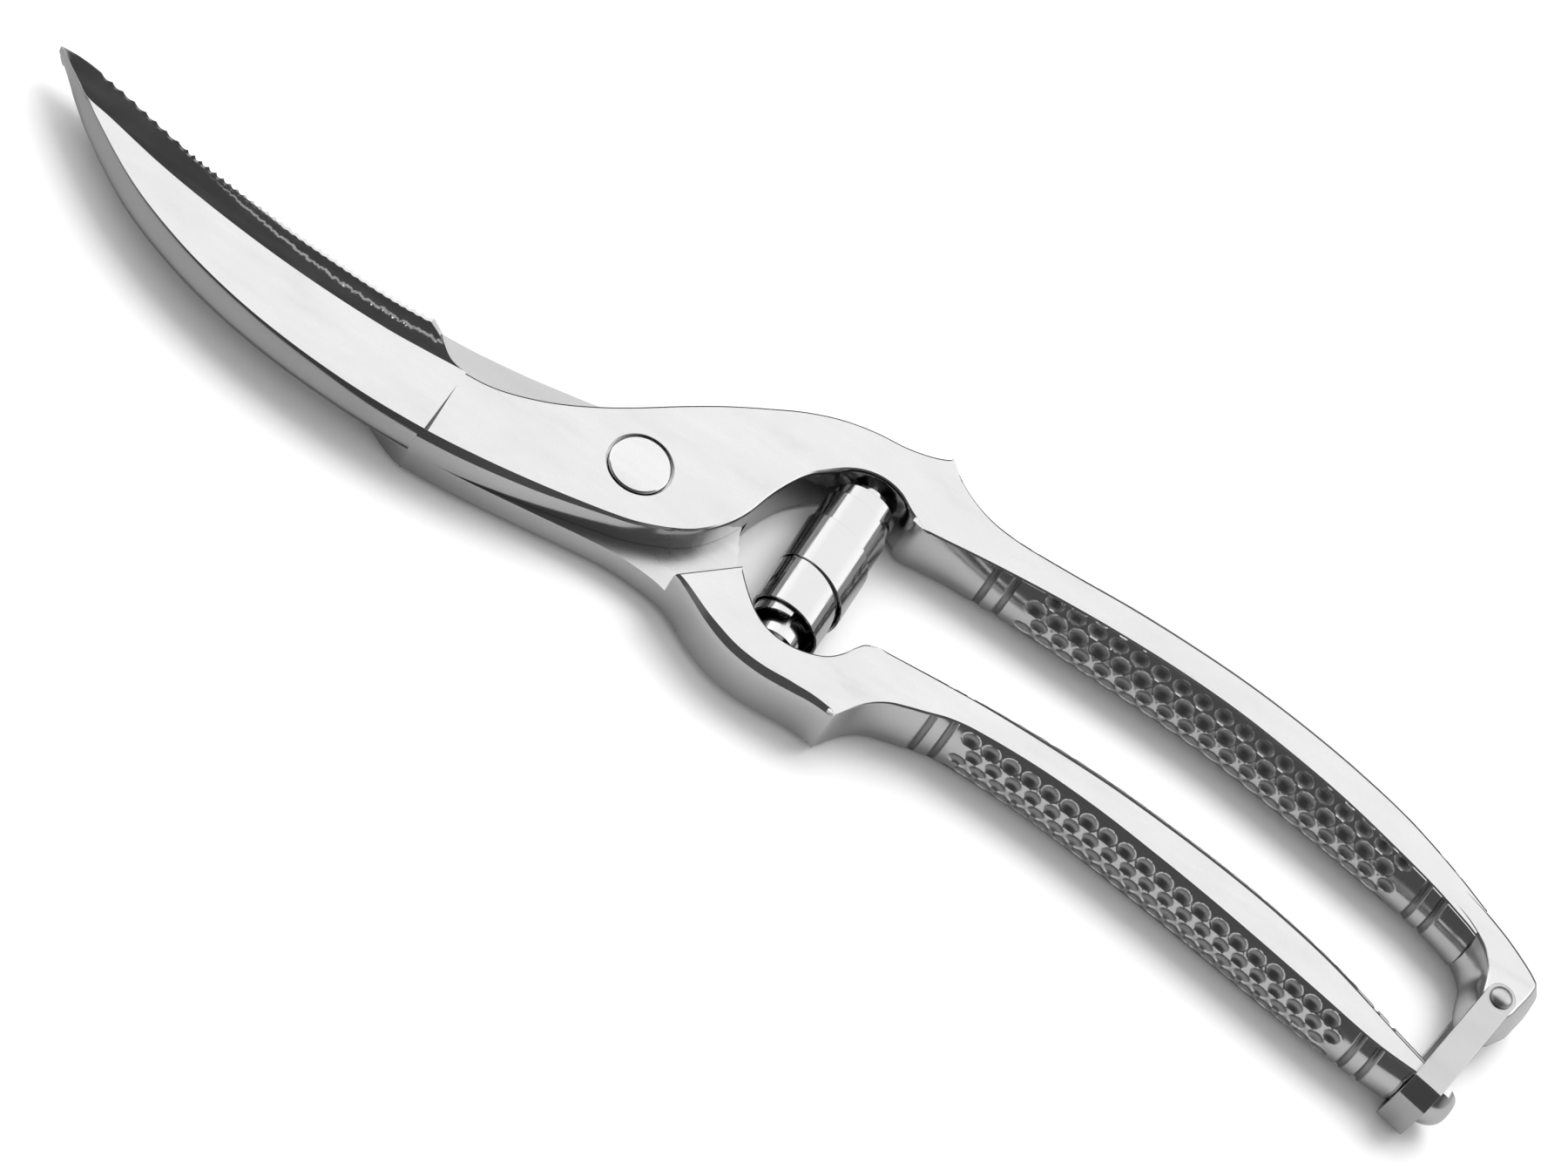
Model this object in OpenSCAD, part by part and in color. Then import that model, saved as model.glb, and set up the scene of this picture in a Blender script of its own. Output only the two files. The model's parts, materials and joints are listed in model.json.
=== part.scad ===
// Poultry shears: two forged halves that cross at a pivot, a volute spring between the handles and
// a bent-strip catch at the handle ends. Millimetres. X runs from the blade tips to the handle ends,
// +Y to the upper handle, +Z up. The origin is on the pivot's axis, on the plane the shears lie on.

/* [Head] */
// Thickness of the head, both halves together
head_t = 10; // [9.6:0.1:10.2]
// Gap between the two halves' mating faces
lap_gap = 0.06; // [0.02:0.01:0.1]
// Radius about the pivot outside which the upper half is full thickness
shoulder_r = 17.9; // [17.8:0.1:18.6]

/* [Handles] */
// Thickness of the grips at their fullest
grip_t = 12.4; // [12.2:0.1:12.8]
// Bulge of the upper grip's finger side beyond its flat top
upper_finger_bulge = 3.8; // [2.6:0.1:4]
// Bulge of the upper grip's palm side
upper_palm_bulge = 2.4; // [1.6:0.1:2.8]
// Bulge of the lower grip's finger side
lower_finger_bulge = 2.8; // [2:0.1:3.2]
// Bulge of the lower grip's palm side
lower_palm_bulge = 2.4; // [1.6:0.1:2.8]

/* [Pivot] */
// Radius of the pivot bolt's shank
pivot_r = 3; // [2.6:0.1:3.2]
// Radial running clearance of the lower half on the shank
pivot_play = 0.04; // [0.02:0.01:0.08]
// Radius of the bolt's head
bolt_head_r = 4.7; // [4.5:0.05:4.8]
// Radius of the seat that the head lies in
bolt_seat_r = 4.95; // [4.85:0.05:5.1]
// Radius of the nut on the underside
nut_r = 5; // [4.6:0.1:5.1]

/* [Spring] */
// Thickness of the spring's strip
strip_t = 0.4; // [0.3:0.05:0.5]
// Outside radius of the widest turn
spring_r = 6.1; // [5.6:0.05:6.15]

/* [Catch] */
// Width of the catch's strip
bail_w = 4.6; // [4:0.1:5]
// Thickness of the catch's strip
bail_t = 1.15; // [1:0.05:1.15]
// Distance from the rivet to the outside of the catch's web
bail_reach = 22.2; // [22.2:0.1:22.6]
// Angle of the closed catch from straight across the handles
bail_lean = 10.6; // [9:0.1:11]
// Radius of the rivet's shank
rivet_r = 1.2; // [1:0.05:1.3]

/* [Hidden] */
$fn = 64;

mid_z = grip_t / 2;                  // parting plane
head_top = mid_z + head_t / 2;
head_bottom = mid_z - head_t / 2;
grip_swell = (grip_t - head_t) / 2;  // how far the grips rise above the head's flat faces
half_gap = lap_gap / 2;
lap_low = mid_z - half_gap;          // lower half's mating face
lap_high = mid_z + half_gap;         // upper half's mating face

seat_depth = 1;
head_dome = 0.4;
thread_r = 2.1;
nut_t = 2;
nut_cap_t = 0.5;
washer_t = 0.5;
washer_r = 4.8;
nut_recess_r = 5.3;
nut_recess_depth = 1.35;
spanner_hole_r = 0.6;
spanner_hole_at = 3.4;
shank_bottom = nut_t;
shoulder_overrun = 0.5;              // how far the shoulder's cut runs up into the head plate

spring_x = 29.5;
spring_end_turns = [-1.75, 2.75];
spring_steps_per_turn = 32;

rivet_at = [143.1, 5.6];
rivet_head_r = 1.75;
rivet_head_h = 0.85;
rivet_lift = 0.02;                   // gap under the rivet's head
rivet_cone_h = 0.7;                  // countersunk foot of the rivet
rivet_hole_play = 0.05;
bail_fold = 2.4;                     // how far each of the web's slanted corners reaches

// Blade stations run from the tip to the ricasso
tip_x = -102;
blade_end_x = -24;
blade_steps = 34;
edge_t = 0.2;                        // how far the cutting edges are blunted

// Outline curves, [x, y] or [x, z], from tip to pivot
upper_spine = [[-102, 6.5], [-99, 3.9], [-96, 1.2], [-91, -2.9], [-81, -9.1], [-71, -13.1],
    [-61, -15.6], [-51, -16.9], [-40, -17.3], [-30, -16.8], [-20, -15.5], [-10, -13.2]];
upper_edge = [[-102, 7], [-96, 7.2], [-91, 6.4], [-81, 4.4], [-71, 3.3], [-61, 2.8],
    [-50, 2.7], [-42, 2.9], [-36, 3.5], [-34, 1.8], [-33, 0.3], [-32, -1], [-31, -2.1], [-30, -2.9],
    [-28, -3.5], [-24, -3]];
upper_edge_line = [[-102, 7], [-42, 2.9], [-36, 3.5], [-24, 5]];
upper_edge_h = 1.2;                  // height of the steep facet at the cutting edge
upper_bevel = [[-102, 6.6], [-96, 1.9], [-94, 0.5], [-90, -0.5], [-80, -2.8], [-70, -4.2],
    [-60, -5], [-50, -5.2], [-40, -4.9], [-34, -4.3], [-28, -3.55], [-24, -3.05]];
upper_face = [[-102, 6.9], [-99, 8.3], [-96, 9.4], [-90, 10.2], [-80, 10.8], [-65, 11.15], [-50, 11.18], [-24, 11.18]];
lower_spine = [[-101.6, 6.6], [-96, 6.4], [-91, 5.7], [-81, 3.8], [-71, 2.8], [-61, 2.4],
    [-50, 2.3], [-42, 2.6], [-36, 3], [-30, 3.6], [-24, 4.5]];
lower_edge = [[-101.6, 6.4], [-99, 4.3], [-96, 1.5], [-91, -2.5], [-81, -8.8], [-71, -12.8],
    [-61, -15.3], [-51, -16.6], [-40, -17], [-30, -16.6], [-24, -16]];
lower_face = [[-101.6, 5.7], [-99, 4.6], [-96, 3.4], [-90, 2.3], [-80, 1.6], [-65, 1.25], [-50, 1.22], [-24, 1.22]];
lower_bevel_w = [[-101.6, 0.2], [-90, 3.5], [-70, 6], [-45, 6.4], [-36, 3.6], [-29, 0.4], [-24, 0.3]];

// How much of its full swell the grip's thickness has reached along the handle
swell_share = [[36, 0], [42, 0.04], [50, 0.3], [60, 0.6], [75, 0.88], [90, 1], [105, 0.92],
    [118, 0.6], [127, 0.22], [131, 0.02], [134, -0.04], [140, -0.04]];

// Flat top faces of the handles: inner and outer edges
upper_inner = [[36.5, 18.5], [38.3, 18.1], [40, 18.3], [45, 19.1], [50, 19.7], [60, 20.7],
    [70, 21.4], [80, 21.7], [90, 21.5], [100, 20.6], [110, 19.3], [120, 17.4], [128, 15.7],
    [134, 13.9], [136, 13.1]];
upper_outer = [[36.5, 31.2], [38.3, 30], [40, 28.9], [42, 27.8], [45, 26.6], [48, 25.9], [52, 25.6],
    [60, 25.9], [70, 26.6], [80, 26.9], [90, 26.8], [100, 26.1], [110, 24.9], [120, 23.1],
    [130, 20.2], [136, 17.8]];
lower_inner = [[41, -3.6], [43, -3.1], [50, -2.5], [60, -1.8], [70, -1.5], [80, -1.4], [90, -1.8],
    [100, -2.5], [110, -3.6], [120, -5.3], [130, -7.8], [138, -10]];
lower_outer = [[41, -16.8], [42.2, -16.7], [43, -15.5], [45, -12.5], [47.5, -10.4], [50, -9.3], [53, -8.2],
    [56, -7.1], [60, -6.4], [70, -5.9], [80, -6.2], [90, -7.1], [100, -8.2], [110, -9.5],
    [120, -10.8], [130, -12], [138, -12.3]];
handle_steps = 44;

// How strongly the sides bulge along each handle, as a share of the full bulge
bulge_share = [[36, 0.05], [45, 0.25], [55, 0.6], [70, 0.95], [90, 1], [110, 0.95], [125, 0.7],
    [136, 0.55]];
lower_bulge_share = [[41, 0.05], [47, 0.15], [55, 0.6], [70, 1], [100, 0.98], [120, 0.92],
    [130, 0.9], [138, 0.85]];
side_levels = [-1, -0.85, -0.6, -0.3, 0, 0.3, 0.6, 0.85, 1];
handle_clear = 0.12;                 // the handle starts this much inside the head's outline

// Plan outlines of the head, as corners joined by smooth runs
upper_head_hollow = [[-28, -16.7], [-20, -15.5], [-10, -13.2], [0, -10.3], [5, -8.5], [10, -5.6],
    [13, -2.8], [15.2, 0.6], [16.6, 4], [17.6, 8], [18.8, 11.5], [20.3, 14.6], [22.3, 17.1],
    [24.7, 19.5], [27.2, 21], [30, 21.6], [32.8, 21.1], [35.3, 19.6], [38.3, 18]];
upper_head_back = [[38.3, 30.1], [36.6, 31.7], [34, 30.2], [30, 28.9], [25, 28.1], [20, 26.6],
    [15, 24.1], [10, 20.7], [5, 17], [0, 12.8], [-5, 8.3], [-10, 4.2], [-15, 0.8], [-20, -1.7],
    [-24, -3], [-28, -3.5]];
lower_head_front = [[-28, 3.8], [-24, 4.5], [-20, 5.3], [-15, 6.5], [-10, 7.8], [-5, 9.5], [0, 11],
    [5, 12.2], [10, 12], [14, 9.3], [16.3, 5.5], [17.2, 2.6], [18.4, 0.3], [19.3, -2]];
lower_head_hollow = [[20, -4.6], [21.7, -6.5], [24, -8.7], [26, -10.1], [28, -10.9], [30, -11.2],
    [32.5, -11], [35, -10.2], [37, -9], [38.5, -7.2], [39.5, -5.3], [40.5, -3.9], [42.2, -3.2]];
lower_head_back = [[42.2, -17.1], [38.5, -16.9], [35, -17.2], [30, -17.6], [25, -17.1], [20, -15.4],
    [15, -12.9], [12.8, -12.1], [10, -11.6], [5, -11.5], [0, -12.1], [-10, -13.9], [-20, -15.6],
    [-28, -16.5]];
shoulder_line = [[20, -4.6], [12.8, -12.1]];
block_reach = 60;

// End of the upper handle, around the rivet: the flat top face's outline
lobe = [[130, 19.4], [135, 17.9], [140, 16], [144, 14], [146.4, 12.5], [147, 11.6], [146.8, 9.5], [146.2, 7],
    [145.6, 4.9], [144.4, 3.5], [142.8, 3.2], [141.6, 4], [140.9, 6], [140.3, 8.7], [139, 10.9],
    [137.2, 12.7], [134, 14.6], [130, 16]];
lobe_bulge = 1.9;

// End of the lower handle: the neck under the catch and the domed knob beyond it
neck_x = [136.5, 141.9];
neck_outer = -12.2;
neck_inner = [-9.6, -10.9];          // at each end of the neck
neck_bulge = [1.9, 0.4];             // outer side, inner side
neck_half_t = head_t / 2 - 0.5;
knob_x = [141.8, 145];
knob_y = [-12.4, -11];
knob_bulge = [2.3, 0.5];
knob_half_t = head_t / 2 - 0.25;
knob_steps = 9;

// Cubic curve through points that rise in x
function segment(k, x, i = 0) = i >= len(k) - 2 || x <= k[i + 1][0] ? i : segment(k, x, i + 1);
function slope(k, i) =
    let (a = k[max(i - 1, 0)], b = k[min(i + 1, len(k) - 1)])
    (b[1] - a[1]) / (b[0] - a[0]);
function curve(k, x) =
    let (i = segment(k, x), h = k[i + 1][0] - k[i][0], t = (x - k[i][0]) / h)
    k[i][1] * (2 * t ^ 3 - 3 * t ^ 2 + 1) + slope(k, i) * h * (t ^ 3 - 2 * t ^ 2 + t)
    + k[i + 1][1] * (3 * t ^ 2 - 2 * t ^ 3) + slope(k, i + 1) * h * (t ^ 3 - t ^ 2);

// Smooth run through points in the plane, with n steps between neighbours
function tangent(p, i) = (p[min(i + 1, len(p) - 1)] - p[max(i - 1, 0)]) / 2;
function run(p, n = 4) = [
    for (i = [0 : len(p) - 2], s = [0 : n - 1])
        let (t = s / n)
        p[i] * (2 * t ^ 3 - 3 * t ^ 2 + 1) + tangent(p, i) * (t ^ 3 - 2 * t ^ 2 + t)
        + p[i + 1] * (3 * t ^ 2 - 2 * t ^ 3) + tangent(p, i + 1) * (t ^ 3 - t ^ 2),
    p[len(p) - 1]
];

// Solid through rings of equal length. Each ring runs anticlockwise seen from the last one.
module loft(rings) {
    n = len(rings[0]);
    last = (len(rings) - 1) * n;
    polyhedron(
        points = [for (ring = rings) each ring],
        faces = [
            [for (j = [0 : n - 1]) j],
            [for (j = [n - 1 : -1 : 0]) last + j],
            for (i = [0 : len(rings) - 2], j = [0 : n - 1])
                let (a = i * n + j, b = i * n + (j + 1) % n)
                each [[a + n, b + n, b], [a + n, b, a]]
        ]
    );
}

function blend_x(a, b, i, n) = a + (b - a) * i / n;

// Upper blade: flat mating face below, rounded spine at -Y, hollow bevel to the cutting edge at +Y
function upper_blade_ring(x) =
    let (
        spine = curve(upper_spine, x),
        edge = curve(upper_edge, x),
        face = curve(upper_face, x),
        bevel = max(curve(upper_bevel, x), spine + 0.6),
        shoulder = min(spine + 1.2, bevel - 0.1),
        full_edge = max(edge, curve(upper_edge_line, x)),
        low_z = lap_high + min(upper_edge_h, (face - lap_high) * 0.4),
        share = max(0, min(0.999, (edge - full_edge) / (bevel - full_edge - 0.01))),
        edge_z = low_z + (face - low_z) * share,
        high = face - lap_high
    )
    [
        [x, spine + 0.25, lap_high],
        [x, edge, lap_high],
        [x, edge - edge_t, edge_z],
        [x, edge + (bevel - edge) * 0.5, edge_z + (face - edge_z) * 0.47],
        [x, bevel, face],
        [x, shoulder, face],
        [x, spine + 0.45, lap_high + high * 0.84],
        [x, spine, lap_high + high * 0.5]
    ];

module upper_blade() {
    loft([for (i = [0 : blade_steps]) upper_blade_ring(blend_x(tip_x, blade_end_x, i, blade_steps))]);
}

// Lower blade: flat mating face above, cutting edge at -Y, spine at +Y
function lower_blade_ring(x) =
    let (
        spine = curve(lower_spine, x),
        edge = curve(lower_edge, x),
        face = curve(lower_face, x),
        bevel = min(edge + curve(lower_bevel_w, x), spine - 1 + min(0.6, (x + 102) / 10)),
        high = lap_low - face
    )
    [
        [x, bevel, face],
        [x, max(spine - 0.9, bevel + 0.05), face],
        [x, spine, lap_low - high * 0.6],
        [x, spine, lap_low],
        [x, edge, lap_low],
        [x, edge, lap_low - edge_t]
    ];

module lower_blade() {
    loft([for (i = [0 : blade_steps])
        lower_blade_ring(blend_x(lower_edge[0][0], blade_end_x, i, blade_steps))]);
}

// Grip section: flat top and bottom, sides bulged by finger and palm
function side(level, power) = 1 - abs(level) ^ power;
function grip_ring(x, low_y, high_y, low_bulge, high_bulge, half) = [
    for (level = side_levels) [x, high_y + high_bulge * side(level, 2.4), mid_z + half * level],
    for (i = [len(side_levels) - 1 : -1 : 0])
        let (level = side_levels[i])
        [x, low_y - low_bulge * side(level, 2.2), mid_z + half * level]
];
function half_t(x, start) =
    head_t / 2 + grip_swell * curve(swell_share, x) - handle_clear * max(0, min(1, (start + 2 - x) / 2));

module upper_grip() {
    start = upper_inner[0][0];
    end = upper_inner[len(upper_inner) - 1][0];
    loft([for (i = [0 : handle_steps])
        let (x = blend_x(start, end, i, handle_steps), share = curve(bulge_share, x))
        grip_ring(x, curve(upper_inner, x), curve(upper_outer, x),
            upper_finger_bulge * share, upper_palm_bulge * share, half_t(x, start))]);
}

module lower_grip() {
    start = lower_inner[0][0];
    end = lower_inner[len(lower_inner) - 1][0];
    loft([for (i = [0 : handle_steps])
        let (x = blend_x(start, end, i, handle_steps), share = curve(lower_bulge_share, x))
        grip_ring(x, curve(lower_outer, x), curve(lower_inner, x),
            lower_palm_bulge * share, lower_finger_bulge * share, half_t(x, start))]);
}

// Rounded end that holds the catch's rivet
function outward(p, i) =
    let (n = len(p), d = p[(i + 1) % n] - p[(i + n - 1) % n])
    [-d[1], d[0]] / norm(d);
module end_lobe() {
    top = run(lobe, 2);
    loft([for (level = [1, 0.8, 0.45, 0, -0.45, -0.8, -1])
        [for (i = [0 : len(top) - 1])
            let (q = top[i] + outward(top, i) * lobe_bulge * side(level, 2) * min(1, (top[i][0] - 129) / 8))
            [q[0], q[1], mid_z + level * head_t / 2]]]);
}

// Neck that the catch's web passes, and the dome beyond it
module neck() {
    loft([for (i = [0, 1])
        grip_ring(neck_x[i], neck_outer, neck_inner[i], neck_bulge[0], neck_bulge[1], neck_half_t)]);
}

module knob() {
    middle = (knob_y[0] + knob_y[1]) / 2;
    loft([for (i = [0 : knob_steps])
        let (a = 85 * i / knob_steps, share = 0.3 + 0.7 * cos(a), half_w = (knob_y[1] - knob_y[0]) / 2 * share)
        grip_ring(knob_x[0] + (knob_x[1] - knob_x[0]) * sin(a), middle - half_w, middle + half_w,
            knob_bulge[0] * share, knob_bulge[1] * share, knob_half_t * share)]);
}

module slab(points, low, high) {
    translate([0, 0, low]) linear_extrude(high - low) polygon(points);
}

module top_half() {
    outline = concat(run(upper_head_hollow), run(upper_head_back, 3));
    color("lightgrey")
    difference() {
        union() {
            slab(outline, lap_high, head_top);
            difference() {
                intersection() {
                    slab(outline, head_bottom, head_top);
                    translate([2, 0, 0]) cube([block_reach, block_reach, grip_t]);
                }
                cylinder(r = shoulder_r, h = lap_high + shoulder_overrun);
            }
            upper_blade();
            upper_grip();
            end_lobe();
        }
        cylinder(r = pivot_r, h = grip_t);
        translate([0, 0, head_top - seat_depth]) cylinder(r = bolt_seat_r, h = grip_t);
        translate([rivet_at[0], rivet_at[1], -1]) cylinder(r = rivet_r, h = grip_t + 2);
        peg_shank(upper_peg_y[0], upper_peg_y[0] + peg_grip);
    }
}

module bottom_half() {
    edge = shoulder_line;
    outline = concat(run(lower_head_front, 3), run(lower_head_hollow), run(lower_head_back, 3));
    color("silver")
    difference() {
        union() {
            slab(outline, head_bottom, lap_low);
            intersection() {
                slab(outline, head_bottom, head_top);
                slab([edge[0], edge[0] + [block_reach, block_reach], edge[1] + [block_reach, -block_reach],
                    edge[1] + [-0.01, -block_reach], edge[1]], 0, grip_t);
            }
            lower_blade();
            lower_grip();
            neck();
            knob();
        }
        translate([0, 0, -1]) cylinder(r = pivot_r + pivot_play, h = grip_t);
        translate([0, 0, -1]) cylinder(r = nut_recess_r, h = head_bottom + nut_recess_depth + 1);
        peg_shank(lower_peg_y[0] - peg_grip, lower_peg_y[0]);
    }
}

// Bolt: domed head in the seat, shank through both halves, thread in the nut
module pivot_bolt() {
    dome_steps = 8;
    seat_z = head_top - seat_depth;
    color("gainsboro")
    rotate_extrude() polygon([
        [0, nut_cap_t + 0.05], [thread_r, nut_cap_t + 0.05], [thread_r, shank_bottom],
        [pivot_r, shank_bottom], [pivot_r, seat_z], [bolt_head_r, seat_z],
        for (i = [0 : dome_steps])
            let (r = bolt_head_r * (1 - i / dome_steps))
            [r, head_top + head_dome * (1 - (r / bolt_head_r) ^ 2)]
    ]);
}

module pivot_washer() {
    color("grey")
    translate([0, 0, shank_bottom])
    difference() {
        cylinder(r = washer_r, h = washer_t);
        translate([0, 0, -1]) cylinder(r = pivot_r + pivot_play, h = washer_t + 2);
    }
}

module pivot_nut() {
    color("darkgrey")
    difference() {
        cylinder(r = nut_r, h = nut_t);
        translate([0, 0, nut_cap_t]) cylinder(r = thread_r, h = nut_t);
        for (a = [0, 180]) rotate(a)
            translate([spanner_hole_at, 0, -1]) cylinder(r = spanner_hole_r, h = 1.8);
    }
}

// Strip wound into two cones: [turn, radius], [turn, middle of the strip] and [turn, width]
spring_mid = [[-1.75, -3.5], [-1, -2.9], [-0.5, -0.7], [0, 3.6], [0.5, 7.9], [1, 10.3], [1.5, 13],
    [2, 14], [2.75, 14.5]];
spring_w = [[-1.75, 7.4], [-1, 8], [-0.5, 8], [0, 8.6], [0.5, 8.4], [1, 8], [2, 8.6], [2.75, 8.6]];
turn_pitch = [0.62, 0.43];           // below and above the widest turn

function strip_ring(turn) =
    let (
        r = spring_r - strip_t / 2 - (turn < 0 ? turn_pitch[0] : turn_pitch[1]) * abs(turn),
        low = curve(spring_mid, turn) - curve(spring_w, turn) / 2,
        high = low + curve(spring_w, turn),
        a = 360 * turn
    )
    [for (c = [[r - strip_t / 2, low], [r - strip_t / 2, high], [r + strip_t / 2, high], [r + strip_t / 2, low]])
        [spring_x + c[0] * cos(a), c[1], mid_z + c[0] * sin(a)]];

module volute_spring() {
    steps = (spring_end_turns[1] - spring_end_turns[0]) * spring_steps_per_turn;
    color("whitesmoke")
    loft([for (i = [0 : steps]) strip_ring(blend_x(spring_end_turns[0], spring_end_turns[1], i, steps))]);
}

// Pegs that the spring's ends sit on: [shoulder, free end]
upper_peg_y = [20.3, 15];
lower_peg_y = [-9.8, -5];
upper_peg_r = 3.4;
lower_peg_r = 3.6;
peg_shank_r = 1.5;
peg_grip = 3.5;

module peg_shank(from_y, to_y) {
    translate([spring_x, from_y, mid_z]) rotate([-90, 0, 0]) cylinder(r = peg_shank_r, h = to_y - from_y);
}

module peg_head(r, length) {
    dome_h = 1;
    rotate_extrude() polygon([[0, 0], [r, 0], [r, length - dome_h],
        for (a = [15 : 15 : 90]) [r * cos(a), length - dome_h + dome_h * sin(a)]]);
}

module upper_spring_peg() {
    color("silver") {
        translate([spring_x, upper_peg_y[0], mid_z]) rotate([90, 0, 0])
            peg_head(upper_peg_r, upper_peg_y[0] - upper_peg_y[1]);
        peg_shank(upper_peg_y[0], upper_peg_y[0] + peg_grip);
    }
}

module lower_spring_peg() {
    color("silver") {
        translate([spring_x, lower_peg_y[0], mid_z]) rotate([-90, 0, 0])
            peg_head(lower_peg_r, lower_peg_y[1] - lower_peg_y[0]);
        peg_shank(lower_peg_y[0] - peg_grip, lower_peg_y[0]);
    }
}

// Catch: a strip bent into a U, its corners folded in two steps, its legs above and below the
// upper handle's end
module catch_bail() {
    inset = bail_t * tan(22.5);
    outer_flat = bail_reach - bail_fold;
    inner_flat = outer_flat - inset;
    inner_reach = bail_reach - bail_t;
    inner_fold = bail_t + inner_reach - inner_flat;
    color("lightgrey")
    difference() {
        translate([rivet_at[0], rivet_at[1], 0]) rotate(-bail_lean)
        intersection() {
            rotate([90, 0, -90]) translate([0, 0, -bail_w / 2]) linear_extrude(bail_w) polygon([
                [-bail_w, 0], [outer_flat, 0], [bail_reach, bail_fold],
                [bail_reach, grip_t - bail_fold], [outer_flat, grip_t], [-bail_w, grip_t],
                [-bail_w, grip_t - bail_t], [inner_flat, grip_t - bail_t],
                [inner_reach, grip_t - inner_fold], [inner_reach, inner_fold],
                [inner_flat, bail_t], [-bail_w, bail_t]
            ]);
            linear_extrude(grip_t) union() {
                circle(r = bail_w / 2);
                translate([-bail_w, -2 * bail_reach]) square([2 * bail_w, 2 * bail_reach]);
            }
        }
        translate([rivet_at[0], rivet_at[1], -1]) cylinder(r = rivet_r + rivet_hole_play, h = grip_t + 2);
        rivet_cone(rivet_hole_play);
    }
}

module rivet_cone(play) {
    translate([rivet_at[0], rivet_at[1], 0])
        cylinder(r1 = rivet_head_r + play, r2 = rivet_r + play, h = rivet_cone_h);
}

module catch_rivet() {
    head_z = grip_t + rivet_lift;
    color("gainsboro")
    translate([rivet_at[0], rivet_at[1], 0])
    rotate_extrude() polygon([
        [0, 0], [rivet_head_r, 0], [rivet_r, rivet_cone_h], [rivet_r, head_z], [rivet_head_r, head_z],
        for (a = [15 : 15 : 90]) [rivet_head_r * cos(a), head_z + rivet_head_h * sin(a)]
    ]);
}

top_half();
bottom_half();
pivot_bolt();
pivot_washer();
pivot_nut();
volute_spring();
upper_spring_peg();
lower_spring_peg();
catch_bail();
catch_rivet();
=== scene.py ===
"""Poultry shears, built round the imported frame. Lengths are in millimetres until a mesh is made."""
import json
import math

import bmesh
import bpy
import numpy as np
from mathutils import Matrix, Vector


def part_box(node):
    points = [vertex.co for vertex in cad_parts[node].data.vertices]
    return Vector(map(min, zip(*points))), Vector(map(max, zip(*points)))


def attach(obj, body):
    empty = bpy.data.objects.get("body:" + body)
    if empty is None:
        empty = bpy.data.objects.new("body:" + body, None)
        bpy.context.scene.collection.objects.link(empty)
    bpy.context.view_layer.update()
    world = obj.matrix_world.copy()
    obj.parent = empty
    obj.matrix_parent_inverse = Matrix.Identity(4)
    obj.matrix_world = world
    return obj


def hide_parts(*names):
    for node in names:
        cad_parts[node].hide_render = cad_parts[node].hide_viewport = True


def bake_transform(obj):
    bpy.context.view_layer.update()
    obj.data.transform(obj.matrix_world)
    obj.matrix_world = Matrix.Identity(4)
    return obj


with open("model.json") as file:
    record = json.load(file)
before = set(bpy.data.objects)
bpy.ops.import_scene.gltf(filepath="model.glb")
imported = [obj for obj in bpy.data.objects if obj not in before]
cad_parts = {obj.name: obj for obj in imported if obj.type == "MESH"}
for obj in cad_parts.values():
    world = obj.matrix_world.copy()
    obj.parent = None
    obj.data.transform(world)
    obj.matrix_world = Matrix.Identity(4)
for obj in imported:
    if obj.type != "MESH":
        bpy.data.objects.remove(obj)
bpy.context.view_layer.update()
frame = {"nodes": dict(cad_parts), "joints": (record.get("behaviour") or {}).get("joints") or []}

MM = 0.001
LIP_FALL = 1.1           # how far a wide chamfer drops for its width
EDGE_FALL = 0.42         # the same for a narrow broken edge
WIDE_LIP = 0.3           # chamfers wider than this are wide ones
CORNER_EASE = 0.6        # rims fade out this close to a corner
HEAD_FRONT = -28         # where the heads' outlines start
BLADE_END = -27.4        # the blades run this far into the head
BLADE_JOIN = -20         # the head's rim doesn't fade before this, where the blade joins it
TUCK = 0.03              # how far a blade's end sinks below the head's surface
BELOW, ABOVE = -5, 20    # cutters run past the part on both sides

# ---- sizes, taken from the frame where it holds them
top_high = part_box("top_half")[1]
nut_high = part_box("pivot_nut")[1]
spring_low, spring_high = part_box("volute_spring")
JOINT = {j["name"]: j for j in frame["joints"]}
RIVET = np.array(JOINT["catch_turn"]["pos_m"][:2]) / MM

GRIP_T = top_high.z / MM
HEAD_T = 10.0
MID = GRIP_T / 2
HEAD_TOP = MID + HEAD_T / 2
HEAD_BOTTOM = MID - HEAD_T / 2
SWELL = (GRIP_T - HEAD_T) / 2
LAP_GAP = 0.03
LAP_LOW = MID - LAP_GAP
LAP_HIGH = MID + LAP_GAP

PIVOT_R = 3.0
PRESS_FIT = 0.02         # gap drawn round a pressed pin
TURNING_FIT = 0.04       # gap drawn round the pivot
BOLT_HEAD_R = 4.7
BOLT_BORE_R = 2.1        # the nut's bore, and the bolt's end in it
SEAT_R = 4.95
SEAT_DEPTH = 1.0
SHOULDER_R = 17.9
NUT_T = nut_high.z / MM
NUT_R = nut_high.x / MM
NUT_RECESS = (5.3, 2.55)  # radius and height

SPRING_X = (spring_low.x + spring_high.x) / 2 / MM
SPRING_R = 6.1
SPRING_TURNS = (-1.75, 2.75)
STRIP_T = 0.4
TURN_PITCH = (0.62, 0.43)  # below and above the widest turn
PEG_SHANK_R = 1.5

BAIL_W = 4.6
BAIL_T = 1.15
BAIL_REACH = 22.2
BAIL_FOLD = 2.4
BAIL_LEAN = math.radians(10.6)
RIVET_R = 1.2
RIVET_HEAD_R = 1.75


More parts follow.
